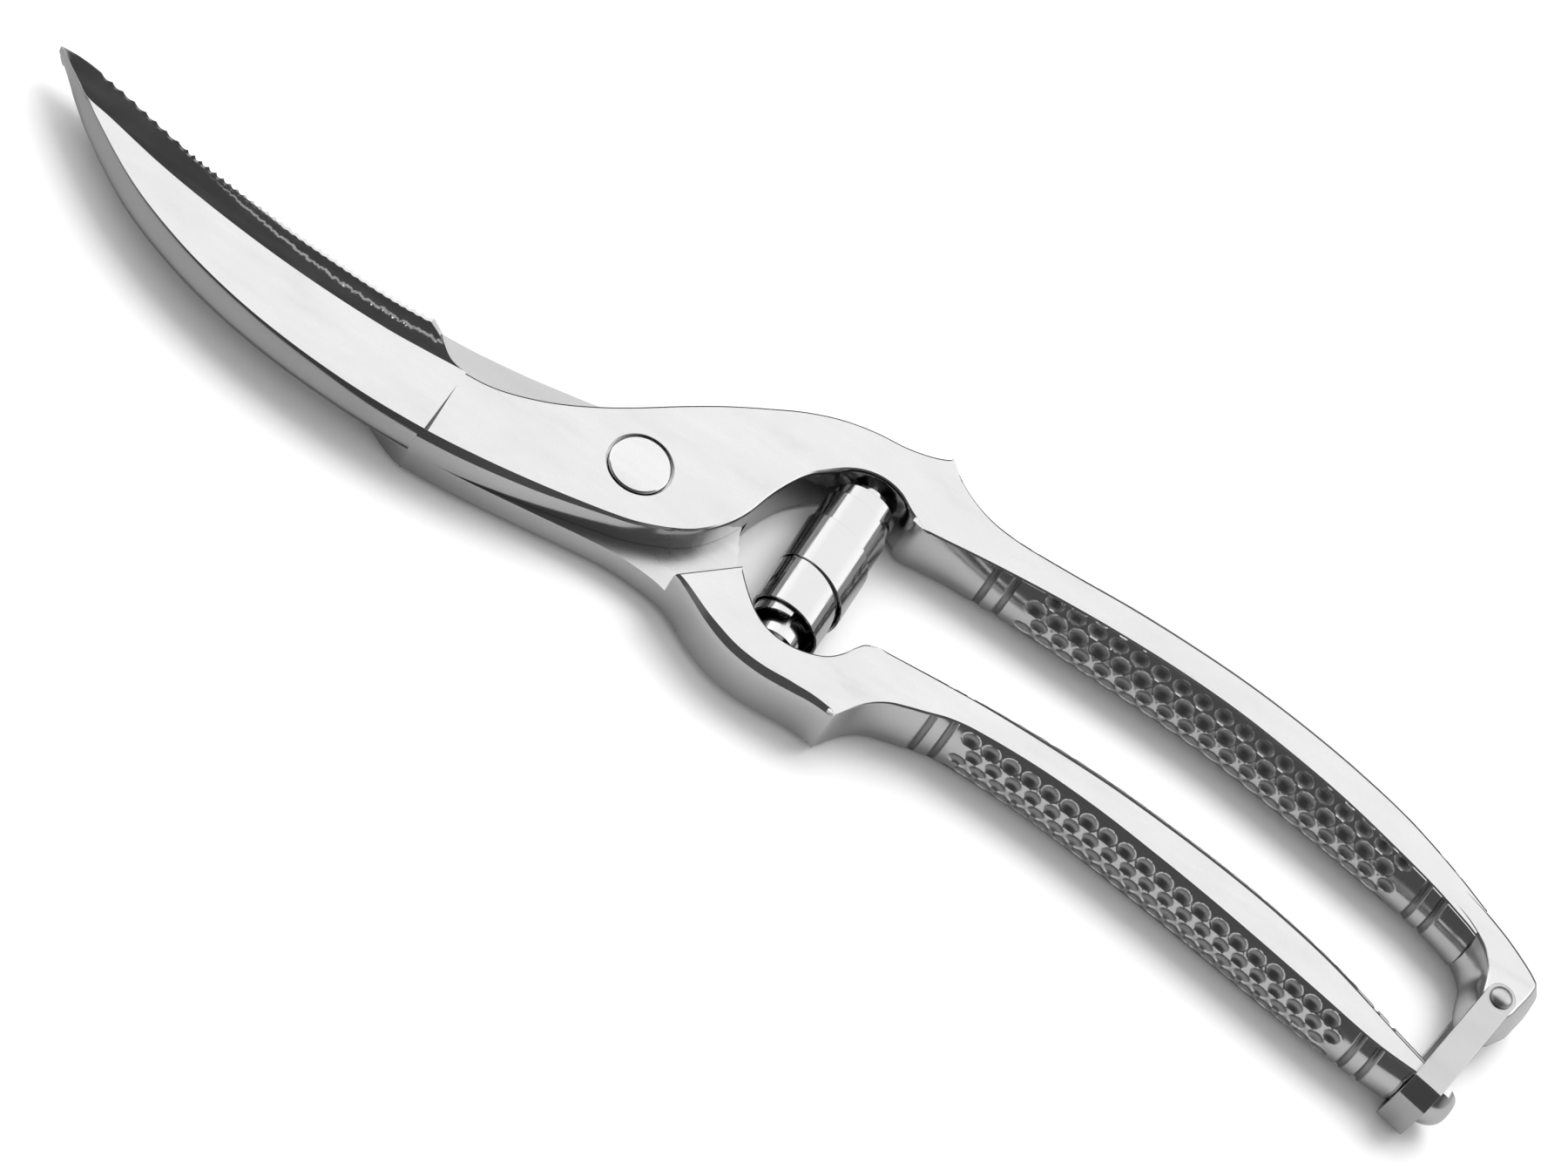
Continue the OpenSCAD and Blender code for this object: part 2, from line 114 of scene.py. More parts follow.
# ---- curves
def curve(points, x):
    """Smooth curve through points that rise in x."""
    k = np.array(points, float)
    n = len(k)
    before = np.maximum(np.arange(n) - 1, 0)
    after = np.minimum(np.arange(n) + 1, n - 1)
    slope = (k[after, 1] - k[before, 1]) / (k[after, 0] - k[before, 0])
    x = np.clip(np.asarray(x, float), k[0, 0], k[-1, 0])
    i = np.clip(np.searchsorted(k[:, 0], x) - 1, 0, n - 2)
    h = k[i + 1, 0] - k[i, 0]
    t = (x - k[i, 0]) / h
    return (
        k[i, 1] * (2 * t**3 - 3 * t**2 + 1)
        + slope[i] * h * (t**3 - 2 * t**2 + t)
        + k[i + 1, 1] * (3 * t**2 - 2 * t**3)
        + slope[i + 1] * h * (t**3 - t**2)
    )


def arc_length(*coordinates):
    """Length from the first point to each point, along the last axis."""
    steps = np.sqrt(sum(np.diff(c, axis=-1) ** 2 for c in coordinates))
    return np.concatenate([np.zeros(steps.shape[:-1] + (1,)), np.cumsum(steps, axis=-1)], axis=-1)
def run(points, step=0.45):
    """Smooth run through plane points, as points about one step apart."""
    p = np.array(points, float)
    n = len(p)
    tangent = (p[np.minimum(np.arange(n) + 1, n - 1)] - p[np.maximum(np.arange(n) - 1, 0)]) / 2
    t = np.linspace(0, 1, 24, endpoint=False)[:, None]
    fine = [
        p[i] * (2 * t**3 - 3 * t**2 + 1)
        + tangent[i] * (t**3 - 2 * t**2 + t)
        + p[i + 1] * (3 * t**2 - 2 * t**3)
        + tangent[i + 1] * (t**3 - t**2)
        for i in range(n - 1)
    ]
    fine = np.vstack(fine + [p[-1:]])
    length = arc_length(*fine.T)
    at = np.linspace(0, length[-1], max(3, int(round(length[-1] / step)) + 1))
    return np.stack([np.interp(at, length, fine[:, c]) for c in (0, 1)], axis=1)


def smoothstep(x, low, high):
    t = np.clip((np.asarray(x, float) - low) / (high - low), 0, 1)
    return t * t * (3 - 2 * t)


def noise_line(x, seed, scale):
    """Gentle wandering along x, between -1 and 1."""
    rng = np.random.default_rng(seed)
    phases = rng.uniform(0, 2 * math.pi, 4)
    return sum(np.sin(x / scale * f + p) / 4 for f, p in zip((1.0, 1.7, 2.9, 4.3), phases))


# ---- meshes
def make(name, points, faces):
    mesh = bpy.data.meshes.new(name)
    mesh.from_pydata((np.asarray(points) * MM).tolist(), [], faces)
    mesh.validate()
    bm = bmesh.new()
    bm.from_mesh(mesh)
    bmesh.ops.recalc_face_normals(bm, faces=bm.faces)
    if bm.calc_volume(signed=True) < 0:
        bmesh.ops.reverse_faces(bm, faces=bm.faces)
    bm.to_mesh(mesh)
    bm.free()
    obj = bpy.data.objects.new(name, mesh)
    bpy.context.scene.collection.objects.link(obj)
    return obj


def loft(name, rings):
    """Solid through rings, an array of stations by points by xyz."""
    rings = np.asarray(rings, float)
    stations, n = rings.shape[:2]
    faces = []
    for i in range(stations - 1):
        a = i * n
        for j in range(n):
            k = (j + 1) % n
            faces.append((a + j, a + k, a + n + k, a + n + j))
    faces.append(tuple(range(n - 1, -1, -1)))
    faces.append(tuple((stations - 1) * n + j for j in range(n)))
    return make(name, rings.reshape(-1, 3), faces)


def lathe(name, profile, centre=(0, 0, 0), axis="z", steps=96):
    """Solid of revolution from (radius, height) points that start and end on the axis."""
    p = np.array(profile, float)
    inner = p[1:-1]
    n = len(inner)
    angles = np.linspace(0, 2 * math.pi, steps, endpoint=False)
    points = [[0, 0, p[0, 1]], [0, 0, p[-1, 1]]]
    for a in angles:
        points += [[r * math.cos(a), r * math.sin(a), h] for r, h in inner]
    faces = []
    for i in range(steps):
        a, b = 2 + i * n, 2 + (i + 1) % steps * n
        faces.append((0, a, b))
        faces += [(a + j, a + j + 1, b + j + 1, b + j) for j in range(n - 1)]
        faces.append((a + n - 1, 1, b + n - 1))
    points = np.array(points)
    if axis == "y":
        points = points[:, [0, 2, 1]]
    return make(name, points + np.array(centre), faces)


def prism(name, outline, low, high):
    """Upright solid over a plane outline."""
    p = np.array(outline, float)
    return loft(name, [np.column_stack([p, np.full(len(p), z)]) for z in (low, high)])


def swept(name, x, rings):
    """Solid along x, from rings that each hold y and z at every x."""
    y, z = np.array(rings).transpose(1, 0, 2)
    points = np.stack([np.broadcast_to(x, y.shape), y, z], axis=2)
    return loft(name, points.transpose(1, 0, 2))


def tag(obj, name, values):
    """Number stored on each vertex."""
    layer = obj.data.attributes.new(name, "FLOAT", "POINT")
    layer.data.foreach_set("value", np.ravel(values).astype(np.float32))
    return obj


def drum(name, radius, low, high, centre=(0, 0), steps=96):
    a = np.linspace(0, 2 * math.pi, steps, endpoint=False)
    outline = np.column_stack([centre[0] + radius * np.cos(a), centre[1] + radius * np.sin(a)])
    return prism(name, outline, low, high)


def apply_modifiers(obj):
    depsgraph = bpy.context.evaluated_depsgraph_get()
    mesh = bpy.data.meshes.new_from_object(obj.evaluated_get(depsgraph))
    obj.modifiers.clear()
    obj.data = mesh
    return obj


def combine(base, others, operation):
    """Applies booleans in turn, and removes the other solids."""
    for other in others:
        step = base.modifiers.new("step", "BOOLEAN")
        step.object = other
        step.operation = operation
        step.solver = "MANIFOLD"
    apply_modifiers(base)
    for other in others:
        bpy.data.objects.remove(other)
    return base


def shade(obj, sharp_deg=32, level_z=0.985, rim_deg=5):
    """Smooth shading, with hard edges where faces meet sharply and round every level face."""
    bm = bmesh.new()
    bm.from_mesh(obj.data)
    bmesh.ops.remove_doubles(bm, verts=bm.verts, dist=1e-8)
    limit, rim = math.radians(sharp_deg), math.radians(rim_deg)
    for face in bm.faces:
        face.smooth = True
    for edge in bm.edges:
        faces = edge.link_faces
        if len(faces) != 2:
            edge.smooth = False
            continue
        angle = edge.calc_face_angle(0)
        level = [abs(f.normal.z) > level_z for f in faces]
        edge.smooth = not (angle > limit or (level[0] != level[1] and angle > rim))
    bm.to_mesh(obj.data)
    bm.free()
    return obj


def bevel(obj, width, segments, angle_deg):
    step = obj.modifiers.new("edges", "BEVEL")
    step.width = width * MM
    step.segments = segments
    step.limit_method = "ANGLE"
    step.angle_limit = math.radians(angle_deg)
    return apply_modifiers(obj)


def rim_profile(inset, side_z, face_z, levels, lip):
    """Heights and insets from a level face, over a chamfer as wide as lip, then down the side."""
    sign = np.sign(face_z - side_z)
    fall = np.where(lip > WIDE_LIP, LIP_FALL, EDGE_FALL) * lip
    start = face_z - sign * fall
    rows = [(face_z + 0 * inset, inset + lip), (face_z - sign * 0.5 * fall, inset + 0.48 * lip)]
    for v in np.linspace(0, 1, levels):
        rows.append((start + (side_z - start) * v, inset * (1 - v) ** 2))
    return rows


def outward_ways(points):
    """Mitred directions out of a closed outline, one at each point."""
    ahead = np.roll(points, -1, axis=0) - points
    ahead /= np.linalg.norm(ahead, axis=1)[:, None]
    behind = np.roll(ahead, 1, axis=0)
    x, y = points.T
    turn = np.sign(np.sum(x * np.roll(y, -1) - y * np.roll(x, -1)))
    n1, n2 = (np.column_stack([way[:, 1], -way[:, 0]]) * turn for way in (ahead, behind))
    longest_mitre = 0.35
    return (n1 + n2) / np.maximum(1 + np.sum(n1 * n2, axis=1), longest_mitre)[:, None]


def plate(name, runs, low, high, inset, depth, low_inset=None, low_depth=None, bulge=None, levels=9,
          lip=lambda x, y, k: 0.2):
    """Solid between two heights. Its outline is smooth runs that meet at corners. Along the outline,
    inset, depth, lip and bulge are functions of x, y and the run's number that shape the rounded rim."""
    points, run_of, to_corner = [], [], []
    for number, line in enumerate(runs):
        along = arc_length(*line.T)
        near = np.minimum(along, along[-1] - along)
        if np.allclose(line[-1], runs[(number + 1) % len(runs)][0]):
            line, near = line[:-1], near[:-1]
        points.append(line)
        run_of += [number] * len(line)
        to_corner.append(near)
    points, to_corner = np.vstack(points), np.concatenate(to_corner)
    outward = outward_ways(points)

    def at_points(value):
        return np.array([value(x, y, k) for (x, y), k in zip(points, run_of)])

    ease = np.where(points[:, 0] < BLADE_JOIN, 1, np.clip(to_corner / CORNER_EASE, 0, 1))
    edge = at_points(lip) * ease
    top_inset, bottom_inset = at_points(inset) * ease, at_points(low_inset or inset) * ease
    top, bottom = high - at_points(depth), low + at_points(low_depth or depth)
    swell = at_points(bulge) if bulge else 0
    half = (high - low) / 2
    side = [(bottom + (top - bottom) * v, np.zeros(len(points))) for v in (0.75, 0.5, 0.25)]
    rings = []
    for z, offset in [
        *rim_profile(top_inset, top, high, levels, edge), *side,
        *rim_profile(bottom_inset, bottom, low, levels, edge)[::-1],
    ]:
        out = swell * (1 - ((z - low - half) / half) ** 2) - offset
        rings.append(np.column_stack([points + outward * out[:, None], z]))
    return loft(name, rings)
# ---- outlines of the two forgings, [x, y] or [x, z]
UPPER_SPINE = [[-102, 6.5], [-99, 3.9], [-96, 1.2], [-91, -2.9], [-81, -9.1], [-71, -13.1],
    [-61, -15.6], [-51, -16.9], [-40, -17.3], [-30, -16.8], [-20, -15.5], [-10, -13.2]]
UPPER_EDGE_LINE = [[-102, 7.2], [-99, 7.4], [-96, 7.2], [-91, 6.4], [-81, 4.4], [-71, 3.3], [-61, 2.8],
    [-50, 2.7], [-42, 2.9], [-36, 3.5], [-30, 4.3], [-24, 5]]
PLUNGE = [[-36, 3.5], [-34, 1.8], [-33, 0.3], [-32, -1], [-31, -2.1], [-30, -2.9], [-28, -3.5], [-24, -3]]
UPPER_BEVEL = [[-102, 6.6], [-96, 1.9], [-94, 0.5], [-90, -0.5], [-80, -2.8], [-70, -4.2],
    [-60, -5], [-50, -5.2], [-40, -4.9], [-34, -4.3], [-28, -3.55], [-24, -3.05]]
UPPER_FACE = [[-102, 8], [-96, 9.4], [-90, 10.2], [-80, 10.8], [-65, 11.15], [-50, 11.2], [-24, 11.2]]
LOWER_SPINE = [[-101.6, 6.6], [-96, 6.4], [-91, 5.7], [-81, 3.8], [-71, 2.8], [-61, 2.4],
    [-50, 2.3], [-42, 2.6], [-36, 3], [-30, 3.6], [-24, 4.5]]
LOWER_EDGE = [[-101.6, 6.4], [-99, 4.3], [-96, 1.5], [-91, -2.5], [-81, -8.8], [-71, -12.8],
    [-61, -15.3], [-51, -16.6], [-40, -17], [-30, -16.6], [-24, -16]]
LOWER_FACE = [[-101.6, 5.7], [-99, 4.6], [-96, 3.4], [-90, 2.3], [-80, 1.6], [-65, 1.25], [-50, 1.2],
    [-24, 1.2]]
LOWER_BEVEL_W = [[-101.6, 0.2], [-90, 3.5], [-70, 6], [-45, 6.4], [-36, 3.6], [-29, 0.4], [-24, 0.3]]

SWELL_SHARE = [[36, 0], [44, 0], [51, 0.3], [60, 0.6], [75, 0.88], [90, 1], [105, 0.92],
    [118, 0.6], [127, 0.2], [131, 0.02], [134, -0.04], [140, -0.04]]
UPPER_INNER = [[36.5, 18.5], [38.3, 18.1], [40, 18.3], [45, 19.1], [50, 19.7], [60, 20.7],
    [70, 21.4], [80, 21.7], [90, 21.5], [100, 20.6], [110, 19.3], [120, 17.4], [128, 15.7],
    [134, 13.9], [136, 13.1]]
UPPER_OUTER = [[36.5, 31.2], [38.3, 30], [40, 28.9], [42, 27.8], [45, 26.6], [48, 25.9], [52, 25.6],
    [60, 25.9], [70, 26.6], [80, 26.9], [90, 26.8], [100, 26.1], [110, 24.9], [120, 23.1],
    [130, 20.2], [136, 17.8]]
LOWER_INNER = [[41, -3.6], [43, -3.1], [50, -2.5], [60, -1.8], [70, -1.5], [80, -1.4], [90, -1.8],
    [100, -2.5], [110, -3.6], [120, -5.3], [130, -7.8], [138, -10]]
LOWER_OUTER = [[41, -16.8], [42.2, -16.7], [43, -15.5], [45, -12.5], [47.5, -10.4], [50, -9.3],
    [53, -8.2], [56, -7.1], [60, -6.4], [70, -5.9], [80, -6.2], [90, -7.1], [100, -8.2],
    [110, -9.5], [120, -10.8], [130, -12], [138, -12.3]]
BULGE_SHARE = [[36, 0.05], [45, 0.25], [55, 0.6], [70, 0.95], [90, 1], [110, 0.95], [125, 0.7],
    [136, 0.55]]
LOWER_BULGE_SHARE = [[41, 0.05], [47, 0.15], [55, 0.6], [70, 1], [100, 0.98], [120, 0.92],
    [130, 0.9], [138, 0.85]]

UPPER_HOLLOW = [[-28, -16.7], [-20, -15.5], [-10, -13.2], [0, -10.3], [5, -8.5], [10, -5.6],
    [13, -2.8], [15.2, 0.6], [16.6, 4], [17.6, 8], [18.8, 11.5], [20.3, 14.6], [22.3, 17.1],
    [24.7, 19.5], [27.2, 21], [30, 21.6], [32.8, 21.1], [35.3, 19.6], [38.3, 18]]
UPPER_END = [[38.3, 18], [38.3, 30.1]]
UPPER_TIP = [[38.3, 30.1], [36.6, 31.7]]
UPPER_BACK = [[36.6, 31.7], [34, 30.2], [30, 28.9], [25, 28.1], [20, 26.6], [15, 24.1],
    [10, 20.7], [5, 17], [0, 12.8], [-5, 8.3], [-10, 4.2], [-15, 0.8], [-20, -1.7],
    [-24, -3], [-28, -3.5]]
UPPER_START = [[-28, -3.5], [-28, -16.7]]
LOWER_FRONT = [[-28, 3.8], [-24, 4.5], [-20, 5.3], [-15, 6.5], [-10, 7.8], [-5, 9.5], [0, 11],
    [5, 12.2], [10, 12], [14, 9.3], [16.3, 5.5], [17.2, 2.6], [18.4, 0.3], [19.3, -2]]
LOWER_HOLLOW = [[20, -4.6], [21.7, -6.5], [24, -8.7], [26, -10.1], [28, -10.9], [30, -11.2],
    [32.5, -11], [35, -10.2], [37, -9], [38.5, -7.2], [39.5, -5.3], [40.5, -3.9], [42.2, -3.2]]
LOWER_BACK = [[42.2, -17.1], [38.5, -16.9], [35, -17.2], [30, -17.6], [25, -17.1], [20, -15.4],
    [15, -12.9], [12.8, -12.1], [10, -11.6], [5, -11.5], [0, -12.1], [-10, -13.9], [-20, -15.6],
    [-28, -16.5]]
SHOULDER = [[20, -4.6], [12.8, -12.1]]

LOBE = [[130, 19.4], [135, 17.9], [140, 16], [144, 14], [146.4, 12.5], [147, 11.6], [146.8, 9.5],
    [146.2, 7], [145.6, 4.9], [144.4, 3.5], [142.8, 3.2], [141.6, 4], [140.9, 6], [140.3, 8.7],
    [139, 10.9], [137.2, 12.7], [134, 14.6], [130, 16]]

SPRING_MID = [[-1.75, -3.5], [-1, -2.9], [-0.5, -0.7], [0, 3.6], [0.5, 7.9], [1, 10.3], [1.5, 13],
    [2, 14], [2.75, 14.5]]
SPRING_W = [[-1.75, 7.4], [-1, 8], [-0.5, 8], [0, 8.6], [0.5, 8.4], [1, 8], [2, 8.6], [2.75, 8.6]]


# ---- blades
PLUNGE_X = -36           # the ground bevel runs out behind this
LAND = 0.35              # height of the lower blade's edge before its bevel
STEEPEST_BEVEL = 0.42    # rise of the ground bevel for its width
SERRATIONS = [  # from x, to x, pitch, depth
    (-95.0, -78.5, 2.1, 0.19),
    (-78.5, -36.2, 1.32, 0.26),
]


def notch(x):
    """How deep the serrations cut the upper edge at x."""
    depth = np.zeros_like(x)
    for start, end, pitch, cut in SERRATIONS:
        inside = (x >= start) & (x < end)
        phase = ((x - start) / pitch + 0.12 * noise_line(x, 3, 5)) % 1.0
        depth[inside] = (cut * 4 * phase * (1 - phase))[inside]
    return depth


def tuck(x):
    """How far a blade's end sinks into the head, so that no two faces lie in one plane."""
    return TUCK * smoothstep(x, HEAD_FRONT, HEAD_FRONT + 1)


def hollow_bevel(x, line, edge, flat, face, low_z, cut):
    """Rings over the hollow-ground bevel, from the toothed edge up to the flat. It has the crease left
    where two grinding passes meet, torn towards the pivot."""
    crease_at = 0.10 + 0.42 * smoothstep(x, -88, -46)
    crease = 0.24 * smoothstep(x, -84, -52) + 0.02
    wander = 0.04 * noise_line(x, 11, 0.9) + 0.05 * noise_line(x, 12, 0.3)
    torn = 0.13 * smoothstep(x, -72, -48) * (1 - smoothstep(x, -37.5, PLUNGE_X))
    # share of the bevel that is gone where the edge plunges
    share = np.clip((edge - line) / (flat - line - 0.01), 0, 0.999)
    rings = []
    for across in np.concatenate([np.linspace(0, 0.1, 3), np.linspace(0.14, 1, 26)]):
        t = across * (1 - share) + share
        y = line + (flat - line) * t - 0.3 * (1 - across) * (1 - share)
        y = y - 1.9 * cut * np.clip(1 - across / 0.14, 0, 1)
        z = low_z + (face - low_z) * (t - 0.10 * t * (1 - t))
        rise = smoothstep(t - crease_at - wander * (across < 0.95), -0.06, 0.06)
        within = np.clip((1 - t) / 0.12, 0, 1) * np.clip(across / 0.1, 0, 1)
        rough = noise_line(x, int(40 + across * 60), 0.5) + 0.6 * noise_line(x, int(140 + across * 60), 0.2)
        z = z - crease * (1 - rise) * within
        z = z + torn * rough * np.exp(-((t - crease_at - 0.02) / 0.09) ** 2)
        rings.append([y, np.minimum(z, face)])
    return rings


def upper_blade():
    x = np.unique(np.round(np.concatenate([
        np.linspace(-102, -95, 30), np.arange(-95, PLUNGE_X, 0.15), np.arange(PLUNGE_X, BLADE_END, 0.25),
        [BLADE_END],
    ]), 4))
    spine, line = curve(UPPER_SPINE, x), curve(UPPER_EDGE_LINE, x)
    edge = np.where(x < PLUNGE_X, line, curve(PLUNGE, x))
    flat = np.maximum(curve(UPPER_BEVEL, x), spine + 0.35)
    low_z = LAP_HIGH + np.interp(x, [-102, -94, -84], [1.2, 1.4, 1.9])
    face = np.minimum(curve(UPPER_FACE, x), low_z + STEEPEST_BEVEL * np.maximum(line - flat, 0.1))
    lip = np.interp(x, [-102, -96, -58, -45, -36, -28], [0.1, 0.2, 0.2, 0.42, 0.75, 0.95])
    inset = np.interp(x, [-102, -93, -58, -45, -36, -28], [0.1, 1.0, 1.0, 0.78, 0.45, 0.25])
    shoulder = np.minimum(spine + inset + lip, flat - 0.05)
    cut, hidden, mating = notch(x), tuck(x), np.full_like(x, LAP_HIGH)
    # mating face, then the steep facet that carries the teeth
    rings = [
        [spine + 0.3, mating], [(spine + edge) / 2, mating], [edge - 0.25 * cut - hidden, mating],
        [edge - 0.07 - 0.8 * cut - hidden, (mating + low_z) / 2],
    ]
    rings += hollow_bevel(x, line, edge, flat, face, low_z, cut)
    # flat, then the chamfered and rounded spine
    high = face - LAP_HIGH
    room = (shoulder - spine) / (inset + lip)
    fall = LIP_FALL * lip * room
    rings += [
        [(flat + shoulder) / 2, face], [shoulder, face], [shoulder - 0.55 * lip * room, face - 0.4 * fall],
    ]
    for v in np.linspace(0, 1, 12):
        drop = fall + (high * 0.82 - fall) * v
        rings.append([spine + inset * room * (1 - v) ** 2 + hidden, face - drop])
    rings.append([spine + 0.08 + hidden, LAP_HIGH + high * 0.08])
    return swept("upper_blade", x, rings)


def lower_blade():
    x = np.unique(np.concatenate([
        np.linspace(-101.6, -90, 40), np.linspace(-89.6, BLADE_END, 150), [HEAD_FRONT],
    ]))
    spine, edge, face = curve(LOWER_SPINE, x), curve(LOWER_EDGE, x), curve(LOWER_FACE, x)
    start = np.minimum(edge + curve(LOWER_BEVEL_W, x), spine - 1 + np.minimum(0.6, (x + 102) / 10))
    start = np.clip(start, edge + 0.02, np.maximum(spine - 0.06, edge + 0.03))
    shoulder = np.minimum(np.maximum(spine - 0.9, start + 0.05), spine - 0.02)
    high = LAP_LOW - face
    hidden, mating = tuck(x), np.full_like(x, LAP_LOW)
    rings = [
        [spine - hidden - 0.15, mating], [(spine + edge) / 2, mating], [edge + hidden, mating],
        [edge + 0.04 + hidden, mating - LAND],
    ]
    for t in np.linspace(0.04, 1, 14):
        z = LAP_LOW - LAND - (high - LAND) * (t - 0.18 * t * (1 - t))
        rings.append([edge + (start - edge) * t + (0.04 + hidden) * (1 - t), z])
    rings += [[(start + shoulder) / 2, face], [shoulder - 0.05, face]]
    for v in np.linspace(0, 1, 9):
        rings.append([spine - (spine - shoulder) * (1 - v) ** 2 - hidden, face + high * (0.012 + 0.6 * v)])
    rings.append([spine - hidden, mating - 0.15])
    return swept("lower_blade", x, rings)


# ---- grips
SIDE_POINTS = 58
GRIP_LIP = 0.28
DIMPLE_RIM = 0.09        # height of the rim raised round a dimple, for its depth
DIMPLE_ENDS = 1.3        # from the ends of the dimpled stretch to the first and last middles
GROOVE = (1.15, 0.42)    # width and depth
# rows are for the side towards -Y and the side towards +Y, radius is along and across the grip
UPPER_DIMPLES = {
    "from": 57, "to": 124.5, "pitch": 3.65, "rows": (6, 5), "row_pitch": 2.32, "radius": (1.55, 1.2),
    "depth": 0.55,
}
LOWER_DIMPLES = {
    "from": 59, "to": 126.5, "pitch": 3.34, "rows": (5, 5), "row_pitch": 2.26, "radius": (1.46, 1.16),
    "depth": 0.52,
}


def side_levels(bulge, power):
    """Levels from -1 to 1 that lie evenly along a bulged side."""
    fine = np.linspace(0, 1, 400)
    length = arc_length(bulge * (1 - fine**power), fine * GRIP_T / 2)
    half = np.interp(np.linspace(0, length[-1], SIDE_POINTS // 2), length, fine)
    return np.concatenate([-half[:0:-1], half])


def bowl(distance, depth):
    """Depth of a dimple at a distance, in radii, from its middle, with a soft raised rim."""
    rim = DIMPLE_RIM * depth * np.exp(-((distance - 1.08) / 0.13) ** 2)
    return np.where(distance < 1, depth * (1 - distance**2), 0) - rim


def dimples(u, s, first, last, rows, pattern):
    """Depth of staggered dimples at places u along the handle and s across its side."""
    pitch, (radius_u, radius_s) = pattern["pitch"], pattern["radius"]
    total = np.zeros_like(u)
    for row in range(rows):
        middle = (row - (rows - 1) / 2) * pattern["row_pitch"]
        begin = first + pitch / 2 * (row % 2)
        centre = begin + np.round((u - begin) / pitch) * pitch
        inside = (centre >= first - 0.01) & (centre <= last + 0.01)
        distance = np.hypot((u - centre) / radius_u, (s - middle) / radius_s)
        total += np.where(inside, bowl(distance, pattern["depth"]), 0)
    return total


def grooves(u, places, width, depth):
    total = np.zeros_like(u)
    for place in places:
        d = (u - place) / (width / 2)
        total += depth * np.clip(1 - d**2, 0, 1) ** 0.7
    return total


def grip_side(x, base, half, share, bulge, power, sign, rows, pattern, marks):
    """One side of a grip, towards +Y or -Y by sign, as points and the depth cut at each. base is its
    edge and half the grip's half thickness at x; marks are the places of the grooves."""
    levels = side_levels(bulge, power)
    y = base[:, None] + sign * bulge * share[:, None] * (1 - np.abs(levels) ** power)
    z = MID + half[:, None] * levels
    dy, dz = np.gradient(y, axis=1), np.gradient(z, axis=1)
    size = np.hypot(dy, dz)
    across = arc_length(y, z)
    across -= across[:, -1:] / 2
    along = arc_length(x, base + sign * share * bulge)
    along -= np.interp(pattern["from"], x, along)
    first, last = DIMPLE_ENDS, np.interp(pattern["to"], x, along) - DIMPLE_ENDS
    u = np.broadcast_to(along[:, None], across.shape)
    # dimples and grooves stay off the level faces
    inward = 1 - np.abs(levels)
    cut = dimples(u, across, first, last, rows, pattern) * smoothstep(inward, 0.01, 0.09)
    cut += grooves(u, np.interp(marks, x, along), *GROOVE) * np.clip(inward / 0.03, 0, 1)
    y, z = y - sign * cut * dz / size, z + sign * cut * dy / size
    # broken edges against the level faces
    lip = GRIP_LIP * smoothstep(x, x[0] + 1, x[0] + 3)[:, None]
    fall = EDGE_FALL * lip
    y = np.hstack([y[:, :1] - sign * lip, y, y[:, -1:] - sign * lip])
    z = np.hstack([z[:, :1], z[:, :1] + fall, z[:, 1:-1], z[:, -1:] - fall, z[:, -1:]])
    points = np.stack([np.broadcast_to(x[:, None], y.shape), y, z], axis=2)
    return points, np.pad(cut, ((0, 0), (1, 1)))


def grip(name, inner, outer, share_of, bulges, powers, pattern, marks):
    """Swept grip. bulges and powers are for the side towards -Y and the side towards +Y."""
    start, end = inner[0][0], inner[-1][0]
    fine_from, fine_to = pattern["from"] - 9, pattern["to"] + 8
    x = np.concatenate([
        np.arange(start, fine_from, 0.4), np.arange(fine_from, fine_to, 0.22),
        np.arange(fine_to, end, 0.3), [end],
    ])
    x = x[np.concatenate([[True], np.diff(x) > 0.05])]
    share = curve(share_of, x)
    half = HEAD_T / 2 + SWELL * curve(SWELL_SHARE, x) - 0.1 * (1 - smoothstep(x, start, start + 0.4))
    bases = sorted((curve(outer, x), curve(inner, x)), key=np.mean)
    (low, low_cut), (high, high_cut) = [
        grip_side(x, base, half, share, bulge, power, sign, rows, pattern, marks)
        for base, bulge, power, sign, rows in zip(bases, bulges, powers, (-1, 1), pattern["rows"])
    ]
    solid = loft(name, np.concatenate([high, low[:, ::-1]], axis=1))
    return tag(solid, "cavity", np.concatenate([high_cut, low_cut[:, ::-1]], axis=1))


def lobe_end():
    closing = np.array([LOBE[-1], LOBE[0]], float)
    rounded, closed = 0, 1

    def swell(x, y, k):
        return np.interp(x, [129, 137], [0, 1.86]) if k == rounded else 0.0

    def inset(x, y, k):
        return 0.0 if k == closed else 0.12

    return plate("end_lobe", [run(LOBE, 0.4), closing], HEAD_BOTTOM, HEAD_TOP, inset,
                 lambda x, y, k: 0.3, bulge=swell, levels=4)


# ---- the top half; its head's runs are numbered in this order
HOLLOW, JOIN, TIP, BACK, START = range(5)


def rim_inset(x, y, k):
    if k == HOLLOW:
        return np.interp(x, [-20, -10], [0.25, 0.12])
    return 0.0 if k == JOIN else 0.2


def rim_depth(x, y, k):
    return np.interp(x, [-28, -5, 6, 12], [4.2, 3.6, 2.2, 0.9]) if k == HOLLOW else 0.7


def rim_lip(x, y, k):
    if k == HOLLOW:
        return np.interp(x, [-20, -10, 0, 5, 12], [0.95, 0.78, 0.42, 0.36, 0.26])
    return 0.0 if k == JOIN else 0.26


def underside_inset(x, y, k):
    return 0.2 if k in (HOLLOW, BACK) else 0.0


def even_depth(x, y, k):
    return 0.7


def peg_hole(low_y, high_y):
    r = PEG_SHANK_R + PRESS_FIT
    profile = [(0, low_y), (r, low_y), (r, high_y), (0, high_y)]
    return lathe("peg_hole", profile, (SPRING_X, 0, MID), "y", 48)


